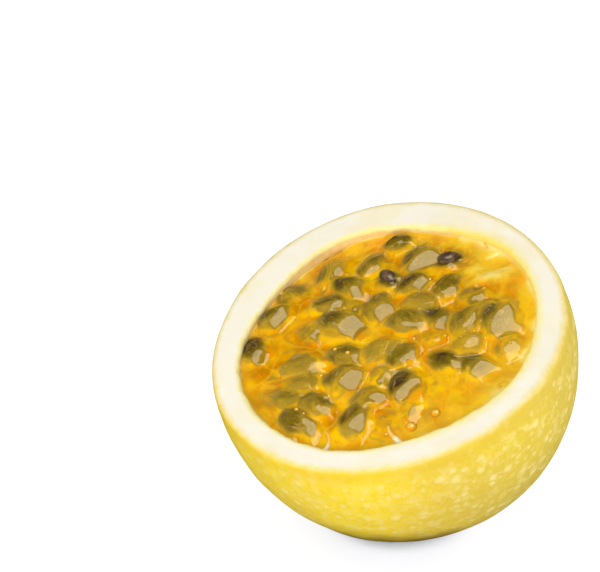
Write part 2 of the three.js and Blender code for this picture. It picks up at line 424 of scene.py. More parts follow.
class Graph:
    """A node tree with short ways to add to it."""

    def __init__(self, tree: bpy.types.NodeTree) -> None:
        """Wraps an empty tree."""
        self.tree = tree

    def node(self, kind: str, settings: dict | None = None, **inputs: object) -> bpy.types.Node:
        """Adds a node.

        Args:
            kind: The node's type.
            settings: Its properties, set first.
            inputs: Values or links of its sockets, by name or identifier, with _ for a space.

        Returns:
            The node.
        """
        node = self.tree.nodes.new(kind)
        for key, value in (settings or {}).items():
            setattr(node, key, value)
        for key, value in inputs.items():
            self.feed(self.socket(node, key), value)
        return node

    @staticmethod
    def socket(node: bpy.types.Node, key: str) -> bpy.types.NodeSocket:
        """A node's input by its identifier or name.

        Args:
            node: The node.
            key: The input's identifier or name, with _ for a space.

        Returns:
            The input.

        Raises:
            KeyError: The node has no such input.
        """
        for sock in node.inputs:
            if key in (sock.identifier, sock.identifier.replace(" ", "_")):
                return sock
        for sock in node.inputs:
            if sock.name.replace(" ", "_") == key and sock.enabled:
                return sock
        raise KeyError(f"{node.bl_idname} has no input {key}")

    def feed(self, socket: bpy.types.NodeSocket, value: object) -> None:
        """Sets a socket's value, or links it.

        Args:
            socket: The socket.
            value: Its value, or the signal that feeds it.
        """
        if isinstance(value, Signal):
            self.tree.links.new(value.socket, socket)
        else:
            socket.default_value = value

    def signal(self, node: bpy.types.Node, output: str = "") -> "Signal":
        """A node's output, by name, or its first one.

        Args:
            node: The node.
            output: The output's name or identifier. Empty for the first.

        Returns:
            The output.
        """
        if not output:
            return Signal(self, node.outputs[0])
        named = [s for s in node.outputs if output in (s.identifier, s.name)]
        return Signal(self, named[0])

    def maths(self, operation: str, *values: object) -> "Signal":
        """A Math node.

        Args:
            operation: Which operation.
            values: Values or links of its inputs, in order.

        Returns:
            The result.
        """
        node = self.node("ShaderNodeMath", {"operation": operation})
        for socket, value in zip(node.inputs, values):
            self.feed(socket, value)
        return self.signal(node)

    def layer(self, name: str) -> "Signal":
        """A number that the mesh holds for each of its points."""
        node = self.node("ShaderNodeAttribute", {"attribute_name": name})
        return self.signal(node, "Fac")

    def vector_layer(self, name: str) -> "Signal":
        """Three numbers that the mesh holds for each of its points."""
        node = self.node("ShaderNodeAttribute", {"attribute_name": name})
        return self.signal(node, "Vector")

    def step(self, value: "Signal", low: object, high: object) -> "Signal":
        """0 below low, 1 above high and a smooth rise between.

        Args:
            value: What is compared.
            low: Where the rise starts.
            high: Where it ends. It may be below low.

        Returns:
            The rise, from 0 to 1.
        """
        node = self.node(
            "ShaderNodeMapRange",
            {"interpolation_type": "SMOOTHSTEP"},
            Value=value,
            From_Min=low,
            From_Max=high,
        )
        return self.signal(node, "Result")

    def mix(self, share: object, low: object, high: object) -> "Signal":
        """One colour laid over another.

        Args:
            share: How much of the upper colour shows.
            low: The lower colour.
            high: The upper colour.

        Returns:
            The mixed colour.
        """
        node = self.node(
            "ShaderNodeMix",
            {"data_type": "RGBA"},
            Factor_Float=share,
            A_Color=low,
            B_Color=high,
        )
        return self.signal(node, "Result_Color")

    def noise(self, place: "Signal", grain: float, detail: float = 2.0, **more: float) -> "Signal":
        """Smooth noise about 0.5.

        Args:
            place: Where, in millimetres.
            grain: The size of its lumps in millimetres.
            detail: How many finer layers it has.
            more: Values of its other sockets.

        Returns:
            The noise.
        """
        node = self.node(
            "ShaderNodeTexNoise", None, Vector=place, Scale=1 / grain, Detail=detail, **more
        )
        return self.signal(node, "Fac")

    def dots(
        self, place: "Signal", cell: float, low: float, high: float, soft: float = 0.16
    ) -> "Signal":
        """Round dots of chance sizes with soft edges.

        Args:
            place: Where, in millimetres.
            cell: Distance between dots.
            low: Radius of the smallest dots, as a share of the cell. Below 0 some are left out.
            high: Radius of the largest.
            soft: Width of their edges.

        Returns:
            1 in a dot and 0 between dots.
        """
        cells = self.node("ShaderNodeTexVoronoi", None, Vector=place, Scale=1 / cell)
        parts = self.node(
            "ShaderNodeSeparateColor", None, Color=self.signal(cells, "Color")
        )
        size = self.signal(parts, "Red") * (high - low) + low
        return self.step(self.signal(cells, "Distance"), size, size - soft)

    def place(self) -> "Signal":
        """The piece's own coordinates in millimetres.

        Returns:
            The coordinates.
        """
        coordinates = self.node("ShaderNodeTexCoord")
        mapping = self.node(
            "ShaderNodeMapping",
            None,
            Vector=self.signal(coordinates, "Object"),
            Scale=(1 / MM,) * 3,
        )
        return self.signal(mapping, "Vector")

    def shifted(self, place: "Signal", by: "Signal", amount: float) -> "Signal":
        """Coordinates pushed about by a colour.

        Args:
            place: The coordinates, in millimetres.
            by: The colour.
            amount: About twice the furthest push, in millimetres.

        Returns:
            The pushed coordinates.
        """
        centred = self.node("ShaderNodeVectorMath", {"operation": "SUBTRACT"})
        self.feed(centred.inputs[0], by)
        self.feed(centred.inputs[1], (0.5, 0.5, 0.5))
        push = self.node("ShaderNodeVectorMath", {"operation": "SCALE"}, Scale=amount)
        self.feed(push.inputs[0], self.signal(centred, "Vector"))
        total = self.node("ShaderNodeVectorMath", {"operation": "ADD"})
        self.feed(total.inputs[0], place)
        self.feed(total.inputs[1], self.signal(push, "Vector"))
        return self.signal(total, "Vector")

    def bump(self, height: "Signal", depth: float, under: "Signal | None" = None) -> "Signal":
        """A Bump node.

        Args:
            height: From 0 to 1.
            depth: What a height of 1 stands for, in millimetres.
            under: A normal that this bump is added to.

        Returns:
            The normal.
        """
        more = {"Normal": under} if under else {}
        node = self.node("ShaderNodeBump", None, Height=height, Distance=depth * MM, **more)
        return self.signal(node, "Normal")


class Signal:
    """A socket that takes part in arithmetic. Each operator adds a Math node."""

    def __init__(self, graph: Graph, socket: bpy.types.NodeSocket) -> None:
        """Wraps a socket of a graph."""
        self.graph = graph
        self.socket = socket

    def __add__(self, other: object) -> "Signal":
        """self + other"""
        return self.graph.maths("ADD", self, other)

    __radd__ = __add__

    def __sub__(self, other: object) -> "Signal":
        """self - other"""
        return self.graph.maths("SUBTRACT", self, other)

    def __rsub__(self, other: object) -> "Signal":
        """other - self"""
        return self.graph.maths("SUBTRACT", other, self)

    def __mul__(self, other: object) -> "Signal":
        """self * other"""
        return self.graph.maths("MULTIPLY", self, other)

    __rmul__ = __mul__

    def clamped(self) -> "Signal":
        """The value held between 0 and 1."""
        return self.graph.maths("MINIMUM", self.graph.maths("MAXIMUM", self, 0.0), 1.0)

    def either(self, other: object) -> "Signal":
        """The larger of two values."""
        return self.graph.maths("MAXIMUM", self, other)


class GeometryTree(Graph):
    """A tree of geometry nodes that makes a piece from the points of a mesh."""

    def __init__(self, name: str) -> None:
        """Makes a tree that takes a geometry in and gives one out.

        Args:
            name: The tree's name.
        """
        super().__init__(bpy.data.node_groups.new(name, "GeometryNodeTree"))
        for direction in ("INPUT", "OUTPUT"):
            self.tree.interface.new_socket(
                "Geometry", in_out=direction, socket_type="NodeSocketGeometry"
            )
        self.start = self.tree.nodes.new("NodeGroupInput")
        self.end = self.tree.nodes.new("NodeGroupOutput")
        self.settings: dict[str, object] = {}

    def given(self) -> "Signal":
        """The geometry that the tree works on."""
        return self.signal(self.start, "Geometry")

    def setting(self, name: str, kind: Kind, value: object) -> "Signal":
        """Adds a named input and the value that it is given.

        Args:
            name: Its name.
            kind: Its type.
            value: Its value.

        Returns:
            The input, for use in the tree.
        """
        item = self.tree.interface.new_socket(name, in_out="INPUT", socket_type=kind.value)
        self.settings[item.identifier] = value
        return self.signal(self.start, name)

    def held(self, name: str, kind: Values) -> "Signal":
        """What the points of the mesh hold under a name."""
        node = self.node("GeometryNodeInputNamedAttribute", {"data_type": kind.value}, Name=name)
        return self.signal(node, "Attribute")

    def keep(self, geometry: "Signal", name: str, value: "Signal") -> "Signal":
        """A geometry that holds a number for each of its points.

        Args:
            geometry: The geometry.
            name: The name that the number is kept under.
            value: The number.

        Returns:
            The geometry with the number.
        """
        node = self.node(
            "GeometryNodeStoreNamedAttribute", None, Geometry=geometry, Name=name, Value=value
        )
        return self.signal(node)

    def parts(self, vector: "Signal") -> tuple["Signal", "Signal", "Signal"]:
        """A vector's three numbers."""
        node = self.node("ShaderNodeSeparateXYZ", None, Vector=vector)
        return self.signal(node, "X"), self.signal(node, "Y"), self.signal(node, "Z")

    def ball(self, segments: "Signal", rings: "Signal") -> tuple["Signal", "Signal"]:
        """A ball of radius 1.

        Args:
            segments: Its segments.
            rings: Its rings.

        Returns:
            The ball and the position field.
        """
        node = self.node("GeometryNodeMeshUVSphere", None, Segments=segments, Rings=rings)
        return self.signal(node, "Mesh"), self.signal(self.node("GeometryNodeInputPosition"))

    def moved(self, geometry: "Signal", x: object, y: object, z: object) -> "Signal":
        """A geometry with its points put elsewhere.

        Args:
            geometry: The geometry.
            x: Where its points go.
            y: The same.
            z: The same.

        Returns:
            The moved geometry.
        """
        to = self.node("ShaderNodeCombineXYZ", None, X=x, Y=y, Z=z)
        node = self.node(
            "GeometryNodeSetPosition", None, Geometry=geometry, Position=self.signal(to)
        )
        return self.signal(node)

    def scattered(self, instance: "Signal", turn: str, size: str) -> "Signal":
        """Copies of a shape on the given points, turned and sized by what those hold.

        Args:
            instance: The shape.
            turn: The name that the points hold their turn under.
            size: The name that they hold their size under.

        Returns:
            The copies.
        """
        euler = self.held(turn, Values.VECTOR)
        rotation = self.node("FunctionNodeEulerToRotation", None, Euler=euler)
        node = self.node(
            "GeometryNodeInstanceOnPoints",
            None,
            Points=self.given(),
            Instance=instance,
            Rotation=self.signal(rotation),
            Scale=self.held(size, Values.VECTOR),
        )
        return self.signal(node)

    def work(
        self, piece: bpy.types.Object, geometry: "Signal", material: bpy.types.Material
    ) -> bpy.types.Object:
        """Ends the tree and works it into a piece's mesh.

        Args:
            piece: The piece with the points.
            geometry: What the tree makes.
            material: The material of all that it makes.

        Returns:
            The piece.
        """
        real = self.signal(self.node("GeometryNodeRealizeInstances", None, Geometry=geometry))
        smooth = self.signal(self.node("GeometryNodeSetShadeSmooth", None, Geometry=real))
        done = self.node(
            "GeometryNodeSetMaterial", None, Geometry=smooth, Material=material
        )
        self.feed(self.end.inputs[0], self.signal(done))
        modifier = piece.modifiers.new(self.tree.name, "NODES")
        modifier.node_group = self.tree
        for identifier, value in self.settings.items():
            modifier[identifier] = value
        return made_plain(piece)


def finish_material(
    name: str, paint: Callable[[Graph], dict[str, object]]
) -> bpy.types.Material:
    """A material with one Principled shader.

    Args:
        name: Its name.
        paint: Adds the nodes and gives the values and links of the shader's sockets.

    Returns:
        The material.
    """
    material = bpy.data.materials.new(name)
    material.use_nodes = True
    material.node_tree.nodes.clear()
    graph = Graph(material.node_tree)
    shader = graph.node("ShaderNodeBsdfPrincipled", None, **paint(graph))
    graph.node("ShaderNodeOutputMaterial", None, Surface=graph.signal(shader))
    return material


# ---------------------------------------------------------------- finishes


@dataclass(frozen=True)
class RindFinish:
    """Waxy skin with pale flecks, creamy pith on the cut, and the stained wall inside."""

    golden: Colour = srgb(255, 222, 44)
    yellow: Colour = srgb(252, 216, 58)
    deep: Colour = srgb(244, 206, 54)
    olive: Colour = srgb(214, 190, 84)
    # Painted shade: the dark colour laid over the skin near the floor.
    painted_foot_shade: Colour = srgb(122, 96, 20)
    fleck: Colour = srgb(255, 232, 146)
    speck: Colour = srgb(150, 116, 52)
    scar: Colour = srgb(128, 92, 48)
    pith: Colour = srgb(254, 246, 226)
    pith_shade: Colour = srgb(253, 241, 208)
    underskin: Colour = srgb(240, 222, 142)
    stained: Colour = srgb(253, 238, 158)
    soaked: Colour = srgb(252, 220, 84)
    wall: Colour = srgb(246, 214, 138)
    wall_deep: Colour = srgb(232, 182, 88)
    # Grains and cells in millimetres, and the bands in which one colour gives way to another.
    fleck_cell: float = 2.7
    small_fleck_cell: float = 1.7
    fleck_warp: float = 1.5
    patch_grain: float = 2.4
    speck_cell: float = 7.0
    broad_grain: float = 26.0
    mottle_grain: float = 3.6
    brow: Band = (-5.0, -1.0)
    # Where painted shade darkens the skin near the floor: heights in millimetres where it fades
    # out and where it is full, all round (foot) and in a band along X (front_foot) that front_left
    # and front_right bound.
    foot: Band = (9.0, 2.0)
    front_foot: Band = (16.0, 7.5)
    front_left: Band = (-22.0, -6.0)
    front_right: Band = (24.0, 7.0)
    deep_wall: Band = (-1.4, -4.4)
    under_edge: Band = (1.6, 0.1)
    skin_edge: Band = (0.6, -0.7)
    edge_wander: float = 1.1
    wax_grain: float = 0.8
    pore_cell: float = 0.75
    fibre_grain: float = 0.55
    skin_depth: float = 0.05
    pith_depth: float = 0.06
    scatter: Triple = (1.0, 0.62, 0.25)
    scatter_reach: float = 1.4 * MM

    def flecks(self, graph: Graph, place: Signal) -> Signal:
        """How much the pale flecks of the skin show.

        Args:
            graph: The material's graph.
            place: The piece's own coordinates in millimetres.

        Returns:
            The share, from 0 to 1.
        """
        warp = graph.node("ShaderNodeTexNoise", None, Vector=place, Scale=0.8, Detail=3.0)
        loose = graph.shifted(place, graph.signal(warp, "Color"), self.fleck_warp)
        crowd = graph.step(graph.noise(place, 8.0, 2.0), 0.36, 0.58)
        strength = 0.5 + graph.layer("side") * 0.5 + crowd * 0.2
        large = graph.dots(loose, self.fleck_cell, -0.05, 0.6, 0.38) * strength
        small = graph.dots(loose, self.small_fleck_cell, -0.05, 0.66, 0.42) * strength * 0.9
        patches = graph.step(graph.noise(loose, self.patch_grain, 3.0), 0.5, 0.66) * strength * 0.5
        fine = graph.step(graph.noise(place, 0.8, 3.0), 0.48, 0.72) * 0.3
        return large.either(small).either(patches).either(fine)

    def skin(self, graph: Graph, place: Signal) -> Signal:
        """The skin, with its flecks, its greener side and painted shade darkening its foot.

        Args:
            graph: The material's graph.
            place: The piece's own coordinates in millimetres.

        Returns:
            The colour.
        """
        broad = graph.noise(place, self.broad_grain, 2.0)
        side = graph.layer("side")
        tone = graph.mix(graph.step(broad, 0.38, 0.62), self.golden, self.yellow)
        greener = (side * 1.3 + (broad - 0.5) * 0.7 - 0.1).clamped()
        tone = graph.mix(greener, tone, self.olive)
        mottle = graph.noise(place, self.mottle_grain, 4.0, Roughness=0.62)
        dull = graph.mix(greener, self.deep, self.olive)
        tone = graph.mix(graph.step(mottle, 0.48, 0.66) * 0.6, tone, dull)
        tone = graph.mix(graph.step(mottle, 0.47, 0.3) * 0.3, tone, self.fleck)
        tone = graph.mix(self.flecks(graph, place), tone, self.fleck)
        brow = graph.step(graph.layer("past_skin"), *self.brow)
        tone = graph.mix(brow * (0.35 + graph.noise(place, 5.0, 2.0) * 0.8), tone, dull)
        parts = graph.node("ShaderNodeSeparateXYZ", None, Vector=place)
        wander = (graph.noise(place, 5.0, 2.0) - 0.5) * 4.0
        height = graph.signal(parts, "Z") + wander
        middle = graph.signal(parts, "X") + wander
        front = graph.step(middle, *self.front_left) * graph.step(middle, *self.front_right)
        front_low = graph.step(height, *self.front_foot) * front
        low = graph.step(height, *self.foot).either(front_low)
        # Painted shade: the skin darkens towards the floor, and higher up in the band along X.
        tone = graph.mix(low * 0.9, tone, self.painted_foot_shade)
        specks = graph.dots(place, self.speck_cell, -0.35, 0.08)
        return graph.mix(specks * 0.7, tone, self.speck)

    def pith_colour(self, graph: Graph, place: Signal) -> Signal:
        """The colour of the cut pith and of the cavity's wall.

        Args:
            graph: The material's graph.
            place: The piece's own coordinates in millimetres.

        Returns:
            The colour.
        """
        cloud = graph.noise(place, 9.0, 2.0)
        tone = graph.mix(graph.step(cloud, 0.4, 0.7), self.pith, self.pith_shade)
        to_wall = graph.layer("to_wall")
        ragged = to_wall + (graph.noise(place, 1.6, 3.0) - 0.5) * 1.4
        fringe = graph.layer("fringe")
        juicy = graph.step(fringe, 1.2, 2.4)
        tone = graph.mix(graph.step(ragged, fringe + 0.3, 0.2) * 0.95, tone, self.stained)
        tone = graph.mix(graph.step(ragged, fringe * 0.5, -0.4) * juicy, tone, self.soaked)
        fibres = graph.noise(graph.vector_layer("grain"), 1.0, 3.0)
        wall = graph.mix(graph.step(fibres, 0.4, 0.7) * 0.3, self.wall, self.pith_shade)
        tone = graph.mix(graph.step(ragged, 0.0, -0.9), tone, wall)
        return graph.mix(graph.step(to_wall, *self.deep_wall), tone, self.wall_deep)

    def paint(self, graph: Graph) -> dict[str, object]:
        """Adds the finish's nodes.

        Args:
            graph: The material's graph.

        Returns:
            The values and links of the shader's sockets, by name.
        """
        place = graph.place()
        past_skin = graph.layer("past_skin")
        wander = (graph.noise(place, 3.4, 2.0) - 0.5) * self.edge_wander
        ragged = past_skin + (graph.noise(place, 0.9, 2.0) - 0.5) * 0.5 + wander
        under = graph.step(ragged, *self.under_edge)
        on_skin = graph.step(ragged, *self.skin_edge)
        tone = graph.mix(under * 0.85, self.pith_colour(graph, place), self.underskin)
        tone = graph.mix(on_skin, tone, self.skin(graph, place))
        tone = graph.mix(graph.layer("scar"), tone, self.scar)
        wax = graph.noise(place, self.wax_grain, 3.0)
        pores = graph.dots(place, self.pore_cell, -0.1, 0.42)
        fibre = graph.noise(place, self.fibre_grain, 4.0, Roughness=0.65)
        skin_relief = graph.bump((wax * 0.6 + pores * 0.4) * on_skin, self.skin_depth)
        relief = graph.bump(fibre * (1 - on_skin), self.pith_depth, skin_relief)
        return {
            "Base_Color": tone,
            "Roughness": 0.6 - on_skin * 0.16 + (wax - 0.5) * 0.12,
            "IOR": 1.42,
            "Specular_IOR_Level": 0.3,
            "Subsurface_Weight": 0.2,
            "Subsurface_Radius": self.scatter,
            "Subsurface_Scale": self.scatter_reach,
            "Normal": relief,
        }


@dataclass(frozen=True)
class PulpFinish:
    """Wet juice sacs: clear orange juice, golden flesh, and the seeds dark under it."""

    deep_juice: Colour = srgb(204, 126, 0)
    juice: Colour = srgb(234, 165, 2)
    bright_juice: Colour = srgb(255, 198, 6)
    glow: Colour = srgb(242, 146, 0)
    flesh: Colour = srgb(205, 161, 26)
    olive_flesh: Colour = srgb(164, 137, 50)
    # Painted shade: the darker colour under each sac's gleaming facet.
    painted_gleam_shade: Colour = srgb(136, 114, 34)
    line: Colour = srgb(142, 112, 22)
    pale_line: Colour = srgb(236, 196, 70)
    seam: Colour = srgb(246, 190, 34)
    # Painted light on one side of the seed covers, and a milky film on raised sacs.
    milky: Colour = srgb(212, 180, 108)
    fibre: Colour = srgb(255, 214, 62)
    pale_fibre: Colour = srgb(255, 236, 150)
    haze_far: Colour = srgb(162, 132, 40)
    haze_near: Colour = srgb(122, 102, 20)
    seed_near: Colour = srgb(104, 82, 22)
    seed_bare: Colour = srgb(72, 54, 32)
    cloud_grain: float = 7.0
    swirl_grain: float = 4.4
    torn_grain: float = 1.1
    fine_grain: float = 0.9
    line_grain: float = 0.4
    low_juice: Band = (0.4, -0.05)
    covered: Band = (0.2, 0.9)
    wall_edge: Band = (0.55, 0.95)
    # How dark a seed shows where each of the four colours over it comes in.
    far: Band = (0.05, 0.42)
    near: Band = (0.3, 0.68)
    closest: Band = (0.6, 0.92)
    bare: Band = (0.88, 1.0)
    relief: float = 0.02
    scatter: Triple = (1.0, 0.4, 0.08)
    scatter_reach: float = 0.8 * MM

    def body(self, graph: Graph, place: Signal, streak: Signal) -> Signal:
        """The colour of juice and sacs with no seed below.

        Args:
            graph: The material's graph.
            place: The piece's own coordinates in millimetres.
            streak: Noise drawn out along the sacs.

        Returns:
            The colour.
        """
        cloud = graph.noise(place, self.cloud_grain, 2.0)
        tone = graph.mix(graph.step(cloud, 0.3, 0.66), self.juice, self.bright_juice)
        low = graph.step(graph.layer("rise") + (streak - 0.5) * 0.6, *self.low_juice)
        tone = graph.mix(low * graph.step(cloud, 0.62, 0.38) * 0.85, tone, self.deep_juice)
        drift = graph.step(streak, 0.44, 0.66) * graph.layer("linked")
        tone = graph.mix(drift * 0.65, tone, self.olive_flesh)
        swirl = graph.noise(place, self.swirl_grain, 4.0, Roughness=0.6, Distortion=0.9)
        clear = graph.step(graph.layer("sac"), 0.4, 0.0)
        tone = graph.mix(graph.step(swirl, 0.5, 0.36) * clear * 0.85, tone, self.glow)
        tone = graph.mix(graph.step(swirl, 0.54, 0.72) * clear * 0.8, tone, self.bright_juice)
        torn = graph.layer("torn") + (graph.noise(place, self.torn_grain, 3.0) - 0.5) * 0.5
        tone = graph.mix(graph.step(torn, 0.15, 0.7) * 0.85, tone, self.fibre)
        tone = graph.mix(graph.step(torn, 0.5, 1.0) * 0.7, tone, self.pale_fibre)
        tint = (graph.layer("tint") * 0.9 + (streak - 0.5) * 2.0).clamped()
        flesh = graph.mix(tint, self.flesh, self.olive_flesh)
        covered = graph.step(graph.layer("sac") + (streak - 0.5) * 0.9, *self.covered)
        tone = graph.mix(covered * 0.95, tone, flesh)
        # Painted shade: darker colour under each gleaming facet, so the softbox's reflection there
        # comes out greyish.
        tone = graph.mix(graph.layer("taut") * 0.75, tone, self.painted_gleam_shade)
        seam = graph.layer("seam") * graph.step(streak, 0.35, 0.6)
        tone = graph.mix(seam * 0.8, tone, self.seam)
        near_wall = graph.layer("near_wall")
        strands = graph.step(graph.layer("strands"), 0.45, 0.8)
        tone = graph.mix((near_wall * (0.7 + strands * 0.6)).clamped(), tone, self.fibre)
        edge = graph.step(near_wall + (strands - 0.5) * 0.2, *self.wall_edge)
        return graph.mix(edge * 0.8, tone, self.pale_fibre)

    def paint(self, graph: Graph) -> dict[str, object]:
        """Adds the finish's nodes.

        Args:
            graph: The material's graph.

        Returns:
            The values and links of the shader's sockets, by name.
        """
        place = graph.place()
        streak = graph.noise(
            graph.vector_layer("flow"), 1.0, 4.0, Roughness=0.6, Distortion=0.5
        )
        fine = graph.noise(place, self.fine_grain, 4.0, Roughness=0.6)
        seed = graph.layer("seed")
        veiled = seed + ((streak - 0.5) * 0.9 + (fine - 0.5) * 0.2) * graph.step(seed, 0.0, 0.4)
        tone = self.body(graph, place, streak)
        for band, colour in (
            (self.far, self.haze_far),
            (self.near, self.haze_near),
            (self.closest, self.seed_near),
            (self.bare, self.seed_bare),
        ):
            tone = graph.mix(graph.step(veiled, *band), tone, colour)
        lines = graph.noise(
            graph.vector_layer("flow"), self.line_grain, 3.0, Roughness=0.6, Distortion=0.4
        )
        drawn = graph.step(graph.layer("rise"), 0.2, 0.8)
        tone = graph.mix(graph.step(lines, 0.52, 0.74) * drawn * 0.5, tone, self.line)
        tone = graph.mix(graph.step(lines, 0.46, 0.28) * drawn * 0.35, tone, self.pale_line)
        # Painted light on one side of each seed's cover, and a milky film over raised sacs.
        painted_light_share = graph.layer("milky") * graph.step(streak, 0.42, 0.62)
        film = graph.step(streak, 0.58, 0.74) * graph.step(graph.layer("rise"), 0.1, 0.6)
        return {
            "Base_Color": graph.mix((painted_light_share * 0.6).either(film * 0.55), tone, self.milky),
            "Roughness": 0.5,
            "IOR": 1.34,
            "Specular_IOR_Level": 0.0,
            "Subsurface_Weight": 0.25,
            "Subsurface_Radius": self.scatter,
            "Subsurface_Scale": self.scatter_reach,
            "Coat_Weight": 1.0 - graph.step(graph.layer("near_wall"), 0.6, 0.95) * 0.8,
            "Coat_Roughness": 0.02,
            "Coat_IOR": 1.45,
            "Normal": graph.bump(fine, self.relief),
        }


@dataclass(frozen=True)
class SeedFinish:
    """A dark brown, finely pitted seed coat, wet with juice."""

    dark: Colour = srgb(78, 60, 44)
    warm: Colour = srgb(122, 96, 64)
    cloud_grain: float = 1.3
    pit_cell: float = 0.42
    pit_depth: float = 0.05

    def paint(self, graph: Graph) -> dict[str, object]:
        """Adds the finish's nodes.

        Args:
            graph: The material's graph.

        Returns:
            The values and links of the shader's sockets, by name.
        """
        place = graph.place()
        cloud = graph.noise(place, self.cloud_grain, 3.0)
        pits = graph.dots(place, self.pit_cell, 0.2, 0.5)
        tone = graph.mix(graph.step(cloud, 0.4, 0.68), self.dark, self.warm)
        return {
            "Base_Color": graph.mix(pits * 0.5, tone, self.dark),
            "Roughness": 0.4 + pits * 0.12,
            "Specular_IOR_Level": 0.2,
            "Coat_Weight": 0.8,
            "Coat_Roughness": 0.06,
            "Normal": graph.bump(1 - pits, self.pit_depth),
        }


@dataclass(frozen=True)
class ThreadFinish:
    """The pale threads that hold the sacs to the wall."""

    pale: Colour = srgb(255, 240, 196)
    soaked: Colour = srgb(248, 196, 92)
    soak_grain: float = 1.0
    fibre_grain: float = 0.3
    fibre_depth: float = 0.05
    scatter: Triple = (1.0, 0.6, 0.2)
    scatter_reach: float = 0.8 * MM

    def paint(self, graph: Graph) -> dict[str, object]:
        """Adds the finish's nodes.

        Args:
            graph: The material's graph.

        Returns:
            The values and links of the shader's sockets, by name.
        """
        place = graph.place()
        soak = graph.layer("soak") + (graph.noise(place, self.soak_grain, 2.0) - 0.5) * 0.5
        fibre = graph.noise(place, self.fibre_grain, 3.0)
        return {
            "Base_Color": graph.mix(graph.step(soak, 0.15, 0.85), self.pale, self.soaked),
            "Roughness": 0.5 + fibre * 0.2,
            "Specular_IOR_Level": 0.1,
            "Subsurface_Weight": 0.1,
            "Subsurface_Radius": self.scatter,
            "Subsurface_Scale": self.scatter_reach,
            "Coat_Weight": 0.06,
            "Coat_Roughness": 0.08,
            "Normal": graph.bump(fibre, self.fibre_depth),
        }


@dataclass(frozen=True)
class BubbleFinish:
    """Thin wet bubbles, with painted shade darkening their foot and painted light paling their
    top.
    """

    # Painted shade at the foot, the film's colour between, and painted light on top.
    foot: Colour = srgb(196, 112, 14)
    film: Colour = srgb(236, 166, 24)
    crown: Colour = srgb(252, 204, 90)
    cloud_grain: float = 0.5
    scatter: Triple = (1.0, 0.5, 0.15)
    scatter_reach: float = 0.5 * MM

    def paint(self, graph: Graph) -> dict[str, object]:
        """Adds the finish's nodes.

        Args:
            graph: The material's graph.

        Returns:
            The values and links of the shader's sockets, by name.
        """
        cloud = graph.noise(graph.place(), self.cloud_grain, 2.0)
        level = graph.layer("level") + (cloud - 0.5) * 0.3
        tone = graph.mix(graph.step(level, 0.1, 0.6), self.foot, self.film)
        return {
            "Base_Color": graph.mix(graph.step(level, 0.7, 1.0), tone, self.crown),
            "Roughness": 0.12,
            "Subsurface_Weight": 0.4,
            "Subsurface_Radius": self.scatter,
            "Subsurface_Scale": self.scatter_reach,
            "Coat_Weight": 1.0,
            "Coat_Roughness": 0.02,
        }


# ---------------------------------------------------------------- rind


